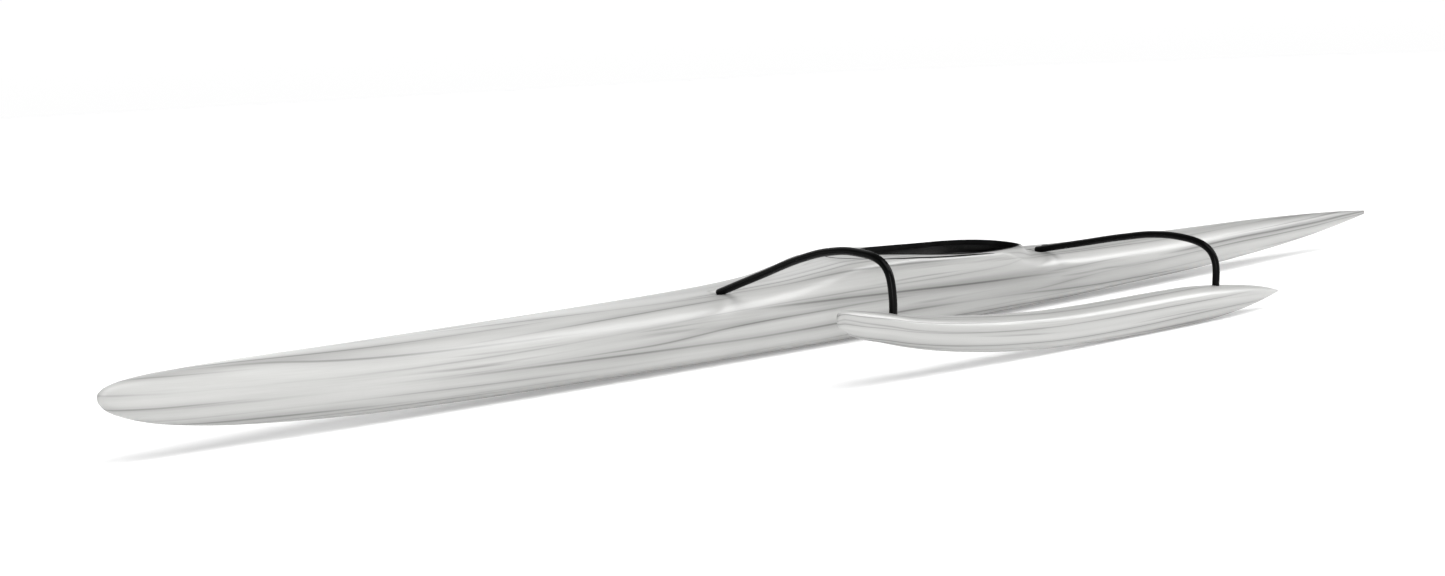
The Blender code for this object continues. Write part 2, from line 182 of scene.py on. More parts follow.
def outward(half_width: Callable[[Array], Array], where: Array) -> Array:
    """Level direction square to the port edge of a form that is this wide.

    Args:
        half_width: half width as a function of place.
        where: places along the form.

    Returns:
        One unit vector per place, in hull coordinates.
    """
    step = 0.002
    slope = (half_width(where + step) - half_width(where - step)) / (2 * step)
    return unit(stacked(-slope, 1.0, 0.0 * slope))


# ---------------------------------------------------------------- the boat's lines


@dataclass(frozen=True)
class RestPose:
    """Where the upright boat lies in the row frame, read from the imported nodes."""

    heel: float
    bow: float
    across: float
    up: float

    @staticmethod
    def corners(node: str) -> Array:
        """The vertices of a CAD node, as an array of points.

        Args:
            node: the node's name.

        Returns:
            Its points in the row frame.
        """
        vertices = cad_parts[node].data.vertices
        points = np.zeros(3 * len(vertices))
        vertices.foreach_get("co", points)
        return points.reshape(-1, 3)

    @classmethod
    def measured(cls) -> "RestPose":
        """Read the heel from the foot rail's flat top and the place from the hull.

        Returns:
            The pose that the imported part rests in.
        """
        rail = cls.corners("foot_rail")[:, 1:]
        spread = np.cov((rail - rail.mean(axis=0)).T)
        across = np.linalg.eigh(spread)[1][:, -1]
        across = across * np.sign(across[0])
        heel = math.atan2(-across[1], across[0])
        middle = cls.corners("hull_mid")
        side = middle[:, 1] * math.cos(heel) - middle[:, 2] * math.sin(heel)
        height = middle[:, 1] * math.sin(heel) + middle[:, 2] * math.cos(heel)
        return cls(heel, float(cls.corners("hull_fore")[:, 0].max()),
                   float(side.min() + side.max()) / 2, float(height.min()))

    def turn(self, vectors: Array) -> Array:
        """Hull directions in the row frame.

        Args:
            vectors: directions in hull coordinates.

        Returns:
            The same directions in the row frame.
        """
        s, y, z = np.moveaxis(np.asarray(vectors, float), -1, 0)
        cos, sin = math.cos(self.heel), math.sin(self.heel)
        return stacked(-s, y * cos + z * sin, z * cos - y * sin)

    def place(self, points: Array) -> Array:
        """Hull coordinates in the row frame."""
        return self.turn(np.asarray(points, float) + (-self.bow, self.across, self.up))


@dataclass(frozen=True)
class Opening:
    """The cockpit opening's outline: a long taper forward and a round aft end."""

    front: float = 3.29
    widest: float = 3.87
    aft: float = 4.31
    width: float = 0.187
    front_powers: Pair = (1.8, 0.75)
    aft_round: float = 2.2

    def half_width(self, s: Array, inset: float = 0.0) -> Array:
        """Half width at s, 0 outside the opening; inset shrinks it all round.

        Args:
            s: places along the hull.
            inset: distance inside the opening's edge.

        Returns:
            One half width per place.
        """
        s = np.asarray(s, float)
        fore = np.clip((self.widest - s) / (self.widest - self.front - inset), 0, 1)
        aft = np.clip((s - self.widest) / (self.aft - self.widest - inset), 0, 1)
        taper = (1 - fore ** self.front_powers[0]) ** self.front_powers[1]
        return (self.width - inset) * np.where(s < self.widest, taper,
                                               (1 - aft ** self.aft_round)
                                               ** (1 / self.aft_round))

    def spans(self, s: Array) -> Array:
        """Whether each place is between the opening's two ends, or on one."""
        return (s >= self.front - WELD) & (s <= self.aft + WELD)

    def way_out(self, s: Array, y: Array) -> Array:
        """How far out from the opening's aft part a point is: 1 on its edge, more outside.

        Args:
            s: places along the hull.
            y: distances from the centre plane.

        Returns:
            One value per point.
        """
        back = np.maximum(s - self.widest, 0) / (self.aft - self.widest)
        aside = np.abs(y) / self.width
        return (aside ** self.aft_round + back ** self.aft_round) ** (1 / self.aft_round)

    def outline(self, inset: float = 0.0, steps: int = 44) -> Array:
        """The closed outline as s, y pairs, crowded at both ends, back to its start.

        Args:
            inset: distance inside the opening's edge.
            steps: lines from each end to the widest place, on one side.

        Returns:
            One pair per point, the last the same as the first.
        """
        front, aft = self.front + inset, self.aft - inset
        turn = np.linspace(0, math.pi / 2, steps + 1)
        s = np.concatenate([front + (self.widest - front) * (1 - np.cos(turn)),
                            self.widest + (aft - self.widest) * np.sin(turn[1:])])
        y = self.half_width(s, inset)
        return np.concatenate([np.stack([s, y], 1), np.stack([s, -y], 1)[-2::-1]])


class Sections(NamedTuple):
    """The hull's measures at an array of places."""

    keel: Array
    sheer: Array
    crown: Array
    beam: Array
    square: Array


@dataclass(frozen=True)
class HullLines:
    """The hull's form: one row of measures per station, as in the part's source."""

    rows: tuple[tuple[float, ...], ...] = (
        # s     keel   sheer  crown  beam   square
        (0.000, 0.212, 0.226, 0.238, 0.006, 2.2),
        (0.025, 0.183, 0.224, 0.255, 0.019, 2.2),
        (0.080, 0.153, 0.220, 0.269, 0.034, 2.2),
        (0.200, 0.114, 0.212, 0.279, 0.053, 2.2),
        (0.500, 0.067, 0.200, 0.283, 0.082, 2.2),
        (1.000, 0.031, 0.184, 0.281, 0.120, 2.2),
        (1.600, 0.015, 0.174, 0.282, 0.152, 2.2),
        (2.100, 0.009, 0.170, 0.284, 0.173, 2.3),
        (2.500, 0.005, 0.170, 0.289, 0.186, 2.5),
        (2.780, 0.002, 0.172, 0.297, 0.193, 3.2),
        (3.000, 0.000, 0.175, 0.322, 0.198, 4.6),
        (3.150, 0.000, 0.177, 0.342, 0.201, 7.0),
        (3.400, 0.000, 0.177, 0.339, 0.204, 11.0),
        (3.700, 0.000, 0.174, 0.321, 0.206, 13.0),
        (3.950, 0.000, 0.171, 0.311, 0.206, 13.0),
        (4.180, 0.002, 0.168, 0.303, 0.203, 9.0),
        (4.340, 0.005, 0.164, 0.291, 0.198, 5.0),
        (4.440, 0.007, 0.161, 0.258, 0.194, 3.4),
        (4.600, 0.010, 0.157, 0.250, 0.187, 2.8),
        (5.000, 0.020, 0.151, 0.242, 0.167, 2.4),
        (5.600, 0.033, 0.146, 0.233, 0.131, 2.2),
        (6.200, 0.060, 0.148, 0.227, 0.091, 2.2),
        (6.700, 0.095, 0.157, 0.214, 0.055, 2.2),
        (7.100, 0.138, 0.170, 0.197, 0.023, 2.2),
        (7.300, 0.164, 0.173, 0.183, 0.004, 2.2),
    )
    lower_exponent: float = 2.3
    bow_round: float = 0.006
    stern_round: float = 0.004
    wall_start: float = 0.020
    wall_full: float = 0.070
    crowding: float = 0.65
    wide: float = 0.04
    close: float = 0.015
    fine: float = 0.005
    drop_crest: float = 1.035
    drop_reach: float = 0.15
    drop_start: float = 4.02
    drop_full: float = 4.30
    low_from: float = 4.47
    low_rise: float = 0.03
    near_side: float = 0.95

    def at(self, s: Array) -> Sections:
        """The measures at s; the last millimetres are rounded off to a point.

        Args:
            s: places along the hull.

        Returns:
            Each measure at every place.
        """
        s = np.asarray(s, float)
        columns = list(zip(*self.rows))
        keel, sheer, crown, beam, square = (smooth_curve(columns[0], column, s)
                                            for column in columns[1:])
        tip = blunt(s / self.bow_round) * blunt((HULL_LENGTH - s) / self.stern_round)
        middle = (keel + crown) / 2
        return Sections(middle + (keel - middle) * tip, middle + (sheer - middle) * tip,
                        middle + (crown - middle) * tip, beam * tip, square)

    def places(self) -> Array:
        """Stations from bow to stern.

        They are close together at the tips and along the opening, and closest at the
        struts' sockets and on the drop behind the cockpit. Both ends of the opening
        have a station of their own.

        Returns:
            The stations, in rising order.
        """
        tip = np.linspace(0, math.pi / 2, 7)
        turn = np.linspace(0, math.pi / 2, 26)
        return np.concatenate([
            self.bow_round * (1 - np.cos(tip)), np.geomspace(self.bow_round, 0.24, 20)[1:],
            np.arange(0.28, 2.44, self.wide), np.arange(2.45, 2.56, self.fine),
            np.arange(2.57, OPENING.front - self.fine, self.close),
            OPENING.front + (OPENING.widest - OPENING.front) * (1 - np.cos(turn)),
            OPENING.widest + (OPENING.aft - OPENING.widest) * np.sin(turn[1:]),
            np.arange(OPENING.aft + 0.004, 4.49, self.fine),
            np.arange(4.50, 4.70, self.close), np.arange(4.72, 7.12, self.wide),
            HULL_LENGTH - np.geomspace(0.17, self.stern_round, 14)[:-1],
            HULL_LENGTH - self.stern_round * (1 - np.cos(tip[::-1])),
        ])

    def wall(self, s: Array, inset: float) -> Array:
        """How far the inside has opened out, from 0 at the tips to 1.

        Args:
            s: stations.
            inset: distance inside the outer surface.

        Returns:
            One share per station, 1 everywhere on the outer surface.
        """
        if inset == 0:
            return np.ones_like(s)
        return (fade(s, self.wall_start, self.wall_full)
                * fade(HULL_LENGTH - s, self.wall_start, self.wall_full))

    def lower(self, s: Array, inset: float = 0.0, steps: int = 48) -> Array:
        """The lower hull: half superellipses hung from the sheer, from port to starboard.

        Args:
            s: stations.
            inset: distance inside the outer surface.
            steps: cells from port to starboard.

        Returns:
            A grid of points, one row per station.
        """
        at = self.at(s)
        open_out = self.wall(s, inset)
        angle = np.linspace(0, math.pi, steps + 1)
        beam = np.maximum(at.beam - inset, 0) * open_out
        depth = np.maximum(at.sheer - at.keel - inset, 0) * open_out
        y, down = superellipse(beam[:, None], depth[:, None], self.lower_exponent, angle)
        return stacked(s[:, None], y, at.sheer[:, None] - down)

    def upper(self, s: Array, inset: float = 0.0, opened: bool = True,
              side: int = 18, top: int = 28) -> Array:
        """The deck's port half: superellipses from the sheer up to the crown or opening.

        The angles crowd together at the shoulder, halfway up, as the section squares
        up; past it they are scaled to end at the opening's edge.

        Args:
            s: stations.
            inset: distance inside the outer surface.
            opened: whether to stop at the opening's edge, or run on to the centreline.
            side: cells from the sheer to the shoulder.
            top: cells from the shoulder to the centreline.

        Returns:
            A grid of points, one row per station.
        """
        at = self.at(s)
        open_out = self.wall(s, inset)
        beam = (np.maximum(at.beam - inset, 0) * open_out)[:, None]
        height = (np.maximum(at.crown - at.sheer - inset, 0) * open_out)[:, None]
        n = at.square[:, None]
        step = np.concatenate([np.linspace(0, QUARTER, side + 1),
                               np.linspace(QUARTER, 2 * QUARTER, top + 1)[1:]])
        crowded = np.arctan(np.tan(np.minimum(step, 2 * QUARTER - TINY)) ** (2 / n))
        over = (crowded - QUARTER) / (crowded[:, -1:] - QUARTER)
        crowded = np.where(step > QUARTER, QUARTER + over * QUARTER, crowded)
        angle = (1 - self.crowding) * step + self.crowding * crowded
        end = np.full_like(beam, 2 * QUARTER)
        if opened:
            edge = OPENING.half_width(s)[:, None]
            share = np.where(edge > 0, edge / np.maximum(beam, TINY), 0.0)
            end = np.where(edge > 0, np.arctan2((1 - share ** n) ** (1 / n), share), end)
        past = (angle - QUARTER) * (end - QUARTER) / QUARTER + QUARTER
        angle = np.where(step > QUARTER, past, angle)
        y, up = superellipse(beam, height, n, angle)
        return stacked(s[:, None], y, at.sheer[:, None] + up * self.kept(s[:, None], y))

    def low_deck(self, s: Array) -> Sections:
        """The aft deck's measures, carried on forward under the cockpit's raised end.

        Args:
            s: places along the hull.

        Returns:
            Each measure at every place.
        """
        here, aft = self.at(s), self.at(np.maximum(s, self.low_from))
        crown = aft.crown + self.low_rise * np.maximum(self.low_from - s, 0)
        return Sections(here.keel, here.sheer, crown, here.beam, aft.square)

    def dropped(self, s: Array, y: Array) -> Array:
        """The share of the way down to the low deck: 0 as far as a line round the opening."""
        out = np.clip((OPENING.way_out(s, y) - self.drop_crest) / self.drop_reach, 0, 1)
        return (1 - (1 - out) ** 2) * fade(s, self.drop_start, self.drop_full)

    @staticmethod
    def rise(at: Sections, y: Array) -> Array:
        """Height of a section's top over its sheer at y."""
        share = np.clip(np.abs(y) / np.maximum(at.beam, TINY), 0, 1)
        return (at.crown - at.sheer) * (1 - share ** at.square) ** (1 / at.square)

    def kept(self, s: Array, y: Array) -> Array:
        """The share of its height over the sheer that the deck keeps behind the cockpit.

        Args:
            s: places along the hull.
            y: distances from the centre plane.

        Returns:
            One share per point, 1 where the deck is not lowered.
        """
        high, low = (np.maximum(self.rise(at, y), TINY)
                     for at in (self.at(s), self.low_deck(s)))
        return 1 - self.dropped(s, y) * (1 - np.minimum(low / high, 1))

    def deck_height(self, s: Array, y: Array) -> Array:
        """Height of the deck at s and y."""
        at = self.at(s)
        return at.sheer + self.rise(at, y) * self.kept(s, y)

    def half_breadth(self, s: Array, z: Array, inset: float) -> Array:
        """Half width of the boat at height z, inset from its outer surface.

        Behind the cockpit it goes over from the high deck's section to the low one's.

        Args:
            s: places along the hull.
            z: heights.
            inset: distance inside the outer surface.

        Returns:
            One half width per place and height.
        """
        def half(at: Sections) -> Array:
            """Half width of one section: the lower hull's or the deck's superellipse.

            Args:
                at: the section's measures.

            Returns:
                One half width per place and height.
            """
            below = z < at.sheer
            share = np.where(below, (at.sheer - z) / (at.sheer - at.keel - inset),
                             (z - at.sheer) / (at.crown - at.sheer - inset))
            n = np.where(below, self.lower_exponent, at.square)
            return (at.beam - inset) * (1 - np.clip(share, 0, 1) ** n) ** (1 / n)

        at = self.at(s)
        down = self.dropped(s, self.near_side * at.beam)
        return half(at) * (1 - down) + half(self.low_deck(s)) * down

    def sheer_normal(self, s: Array) -> Array:
        """Outward direction at the port sheer, where hull and deck run on smoothly."""
        return outward(lambda place: self.at(place).beam, s)


@dataclass(frozen=True)
class FloatLines:
    """The float's form: sections along its own axis, as in the part's source."""

    rows: tuple[tuple[float, ...], ...] = (
        # a     bottom top    half width
        (0.000, 0.314, 0.346, 0.007),
        (0.025, 0.292, 0.358, 0.020),
        (0.110, 0.251, 0.349, 0.036),
        (0.220, 0.222, 0.331, 0.048),
        (0.340, 0.191, 0.307, 0.057),
        (0.550, 0.149, 0.278, 0.065),
        (0.850, 0.108, 0.248, 0.070),
        (1.150, 0.084, 0.229, 0.072),
        (1.450, 0.073, 0.224, 0.073),
        (1.750, 0.067, 0.224, 0.073),
        (2.000, 0.067, 0.222, 0.070),
        (2.200, 0.076, 0.210, 0.063),
        (2.400, 0.093, 0.190, 0.049),
        (2.550, 0.115, 0.167, 0.031),
        (2.660, 0.134, 0.141, 0.005),
    )
    nose_at: float = 2.228
    length: float = 2.66
    offset: float = 0.982
    offset_at: float = 2.505
    toe: float = 0.0125
    seam: float = 0.70
    upper_exponent: float = 2.4
    lower_exponent: float = 2.2
    nose_round: float = 0.010
    tail_round: float = 0.005
    close: float = 0.02

    def places(self) -> Array:
        """Sections from nose to tail, close together at both ends.

        Returns:
            The sections' distances aft of the nose.
        """
        turn = np.linspace(0, math.pi / 2, 8)
        return np.concatenate([
            self.nose_round * (1 - np.cos(turn)),
            np.geomspace(self.nose_round, 0.16, 14)[1:],
            np.arange(0.18, self.length - 0.17, self.close),
            self.length - np.geomspace(0.16, self.tail_round, 14)[:-1],
            self.length - self.tail_round * (1 - np.sin(turn)),
        ])

    def measures(self, a: Array) -> tuple[Array, ...]:
        """Bottom, seam, top and half width at a, rounded off to a point at both ends.

        Args:
            a: distances aft of the float's nose.

        Returns:
            The four measures, each at every place.
        """
        columns = list(zip(*self.rows))
        bottom, top, half = (smooth_curve(columns[0], column, a) for column in columns[1:])
        tip = blunt(a / self.nose_round) * blunt((self.length - a) / self.tail_round)
        middle = (bottom + top) / 2
        bottom, top = middle + (bottom - middle) * tip, middle + (top - middle) * tip
        return bottom, bottom + self.seam * (top - bottom), top, half * tip

    def axis(self, s: Array) -> Array:
        """y of the float's axis at s."""
        return self.offset + self.toe * (s - self.offset_at)

    def skin(self, a: Array, half: Half, steps: int = 36) -> Array:
        """Half superellipses above or below the seam, from outboard to inboard.

        Args:
            a: distances aft of the float's nose.
            half: the moulding above or below the seam.
            steps: cells from outboard to inboard.

        Returns:
            A grid of points, one row per section.
        """
        bottom, seam, top, width = self.measures(a)
        upper = half is Half.UPPER
        height = top - seam if upper else seam - bottom
        n = self.upper_exponent if upper else self.lower_exponent
        angle = np.linspace(0, math.pi, steps + 1)
        y, away = superellipse(width[:, None], height[:, None], n, angle)
        s = (self.nose_at + a)[:, None]
        return stacked(s, self.axis(s) + y, seam[:, None] + half.value * away)

    def seam_normal(self, a: Array) -> Array:
        """Outward direction at the outboard seam."""
        return outward(lambda place: self.measures(place)[3], a)


HULL = HullLines()
OPENING = Opening()
FLOAT = FloatLines()
POSE = RestPose.measured()


# ---------------------------------------------------------------- meshes


@dataclass
class Patch:
    """A grid of points in hull coordinates, with a map for its pattern."""

    points: Array
    grain: Optional[Array] = None
    normals: dict[int, Array] = field(default_factory=dict)

    def corner_map(self) -> Array:
        """The pattern's place of each point: what was given, or girth along and across.

        Returns:
            One pair in metres per point of the grid.
        """
        if self.grain is not None:
            return self.grain
        along = girth(np.swapaxes(self.points, 0, 1)).T
        return stacked(along, girth(self.points))

    def fixed_normals(self) -> Array:
        """The row-frame normals that are set by a formula, 0 where there is none.

        Returns:
            One vector per point of the grid.
        """
        made = np.zeros_like(self.points)
        for column, directions in self.normals.items():
            made[:, column] = POSE.turn(directions)
        return made


def between(one: Array, other: Array, normals: Optional[Array] = None) -> Patch:
    """A strip from one line of points to another; normals are the first line's own."""
    fixed = {} if normals is None else {0: normals}
    return Patch(np.stack([one, other], axis=1), None, fixed)


def grid_faces(rows: int, columns: int, start: int) -> Array:
    """The four corners of every cell of a grid whose first point has number start."""
    first = (np.arange(rows - 1)[:, None] * columns + np.arange(columns - 1)).ravel() + start
    return np.stack([first, first + 1, first + columns + 1, first + columns], axis=1)


def make_piece(name: str, patches: Sequence[Patch], finish: Material,
               sharp: float = 38.0) -> Piece:
    """Weld patches into one closed mesh in the row frame and make it a piece.

    Args:
        name: the piece's name.
        patches: grids whose edges meet.
        finish: its material.
        sharp: edges that turn more than this many degrees stay crisp.

    Returns:
        The piece, riding on the boat's one body.
    """
    points = [patch.points.reshape(-1, 3) for patch in patches]
    starts = np.cumsum([0] + [len(block) for block in points])
    faces = np.concatenate([grid_faces(*patch.points.shape[:2], start)
                            for patch, start in zip(patches, starts)])
    grain = np.concatenate([patch.corner_map().reshape(-1, 2) for patch in patches])
    normals = np.concatenate([patch.fixed_normals().reshape(-1, 3) for patch in patches])
    mesh = bpy.data.meshes.new(name)
    mesh.from_pydata(POSE.place(np.concatenate(points)).tolist(), [], faces.tolist())
    mesh.uv_layers.new(name=GRAIN_MAP).data.foreach_set("uv", grain[faces.ravel()].ravel())
    mesh.attributes.new(SEAM_NORMAL, "FLOAT_VECTOR", "POINT").data.foreach_set(
        "vector", normals.ravel())
    body = bmesh.new()
    body.from_mesh(mesh)
    bmesh.ops.remove_doubles(body, verts=body.verts, dist=WELD)
    bmesh.ops.dissolve_degenerate(body, edges=body.edges, dist=SLIVER)
    bmesh.ops.recalc_face_normals(body, faces=body.faces)
    body.to_mesh(mesh)
    body.free()
    mesh.shade_smooth()
    mesh.set_sharp_from_angle(angle=math.radians(sharp))
    fixed = np.zeros(3 * len(mesh.vertices))
    mesh.attributes[SEAM_NORMAL].data.foreach_get("vector", fixed)
    mesh.attributes.remove(mesh.attributes[SEAM_NORMAL])
    if np.any(fixed):
        mesh.normals_split_custom_set_from_vertices(fixed.reshape(-1, 3).tolist())
    mesh.materials.append(finish)
    piece = placed(name, mesh)
    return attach(piece, BODY)


def placed(name: str, data: bpy.types.ID) -> Piece:
    """A new object in the scene.

    Args:
        name: the object's name.
        data: its mesh, light or camera.

    Returns:
        The object.
    """
    made = bpy.data.objects.new(name, data)
    bpy.context.scene.collection.objects.link(made)
    return made


def mirrored(points: Array) -> Array:
    """The same points on the other side of the centre plane."""
    return points * (1.0, -1.0, 1.0)


def turned_ring(centre: Array, one: Array, other: Array, sides: int) -> Array:
    """Closed rings round a line: each point is centre + one cos + other sin.

    Args:
        centre: the line's points.
        one: each ring's first half axis.
        other: its second half axis.
        sides: cells round each ring.

    Returns:
        A grid of points, one row per ring.
    """
    angle = np.linspace(0, math.tau, sides + 1)[:, None]
    ring = one[:, None] * np.cos(angle) + other[:, None] * np.sin(angle)
    return centre[:, None] + ring


# ---------------------------------------------------------------- finishes


class Nodes:
    """The node tree of a material or a sky, with each node made and wired in one line."""

    def __init__(self, owner: bpy.types.ID, shader: str = "Principled BSDF") -> None:
        """Start from the shader and the output that a new tree has.

        Args:
            owner: the material or sky.
            shader: the name of its shader node.
        """
        self.owner = owner
        self.owner.use_nodes = True
        self.tree = self.owner.node_tree
        self.shader = self.tree.nodes[shader]

    @classmethod
    def of_material(cls, name: str) -> "Nodes":
        """The tree of a new material."""
        return cls(bpy.data.materials.new(name))

    def add(self, kind: str, inputs: Optional[dict] = None,
            **settings: object) -> bpy.types.Node:
        """Make a node.

        Args:
            kind: its type, without the ShaderNode in front.
            inputs: values or output sockets for its inputs, by name or number.
            settings: its own properties.

        Returns:
            The node.
        """
        node = self.tree.nodes.new("ShaderNode" + kind)
        for key, value in settings.items():
            setattr(node, key, value)
        for key, value in (inputs or {}).items():
            self.feed(node.inputs[key], value)
        return node

    def feed(self, socket: Socket, value: object) -> None:
        """Wire a socket to an output, or set it to a constant.

        Args:
            socket: an input.
            value: an output socket or a constant.
        """
        if isinstance(value, Socket):
            self.tree.links.new(value, socket)
        else:
            socket.default_value = value

    def grain(self, scale: Triple, shift: Triple = (0, 0, 0)) -> Socket:
        """The piece's own pattern map, scaled and shifted.

        Args:
            scale: how much the map is stretched each way.
            shift: how far it is moved after that.

        Returns:
            The mapped coordinates.
        """
        source = self.add("UVMap", uv_map=GRAIN_MAP).outputs["UV"]
        return self.add("Mapping", {"Vector": source, "Scale": scale, "Location": shift}
                        ).outputs["Vector"]

    def space(self, scale: float) -> Socket:
        """Object coordinates, scaled.

        Args:
            scale: the scale, the same each way.

        Returns:
            The mapped coordinates.
        """
        source = self.add("TexCoord").outputs["Object"]
        return self.add("Mapping", {"Vector": source, "Scale": (scale,) * 3}
                        ).outputs["Vector"]

    def noise(self, vector: Socket, detail: float = 2.0,
              roughness: float = 0.5, scale: float = 1.0) -> Socket:
        """Soft noise, from 0 to 1."""
        return self.add("TexNoise", {"Vector": vector, "Scale": scale, "Detail": detail,
                                     "Roughness": roughness}).outputs["Fac"]

    def ramp(self, value: Socket, low: float, high: float,
             to_low: float = 0.0, to_high: float = 1.0) -> Socket:
        """The value carried smoothly from one range to another, held at its ends.

        Args:
            value: what is carried over.
            low: start of its range.
            high: end of its range.
            to_low: what the start becomes.
            to_high: what the end becomes.

        Returns:
            The new value.
        """
        return self.add("MapRange", {"Value": value, "From Min": low, "From Max": high,
                                     "To Min": to_low, "To Max": to_high},
                        interpolation_type="SMOOTHSTEP").outputs["Result"]

    def math(self, operation: str, one: object, other: object = 0.0) -> Socket:
        """One sum of two values."""
        return self.add("Math", {0: one, 1: other}, operation=operation).outputs["Value"]

    def times(self, one: object, other: object) -> Socket:
        """The product of two values."""
        return self.math("MULTIPLY", one, other)

    def plus(self, one: object, other: object) -> Socket:
        """The sum of two values."""
        return self.math("ADD", one, other)

    def most(self, one: object, other: object) -> Socket:
        """The larger of two values."""
        return self.math("MAXIMUM", one, other)

    def blend(self, share: Socket, one: object, other: object) -> Socket:
        """A colour between two colours.

        Args:
            share: 0 for the first colour, 1 for the second.
            one: the first colour, or an output socket.
            other: the second colour.

        Returns:
            The colour between them.
        """
        node = self.add("Mix", data_type="RGBA")
        self.feed(node.inputs["Factor"], share)
        self.feed(node.inputs[6], one if isinstance(one, Socket) else (*one, 1))
        self.feed(node.inputs[7], (*other, 1))
        return node.outputs[2]

    def bump(self, height: Socket, depth: float, strength: float = 1.0) -> None:
        """Let a height, from 0 to 1, raise the surface by up to depth metres."""
        node = self.add("Bump", {"Height": height, "Distance": depth, "Strength": strength})
        self.feed(self.shader.inputs["Normal"], node.outputs["Normal"])

    def finish(self, **inputs: object) -> bpy.types.ID:
        """Set the shader's inputs, with _ for a space in a name, and give the tree's owner.

        Args:
            inputs: values or output sockets, by the input's name.

        Returns:
            The material or sky.
        """
        for key, value in inputs.items():
            self.feed(self.shader.inputs[key.replace("_", " ")], value)
        return self.owner


@dataclass(frozen=True)
class GrainLines:
    """One family of drawn lines: how many per metre, how they wander, how wide and dark."""

    per_metre: float
    wander: float
    drift: float
    core: float
    smear: float
    smear_share: float
    offset: float
    dark: float


@dataclass(frozen=True)
class Streaks:
    """One layer of drawn-out noise: its scale along and across, and the range that shows."""

    scale: Pair
    offset: float
    detail: float
    low: float
    high: float
    dark: float = 1.0


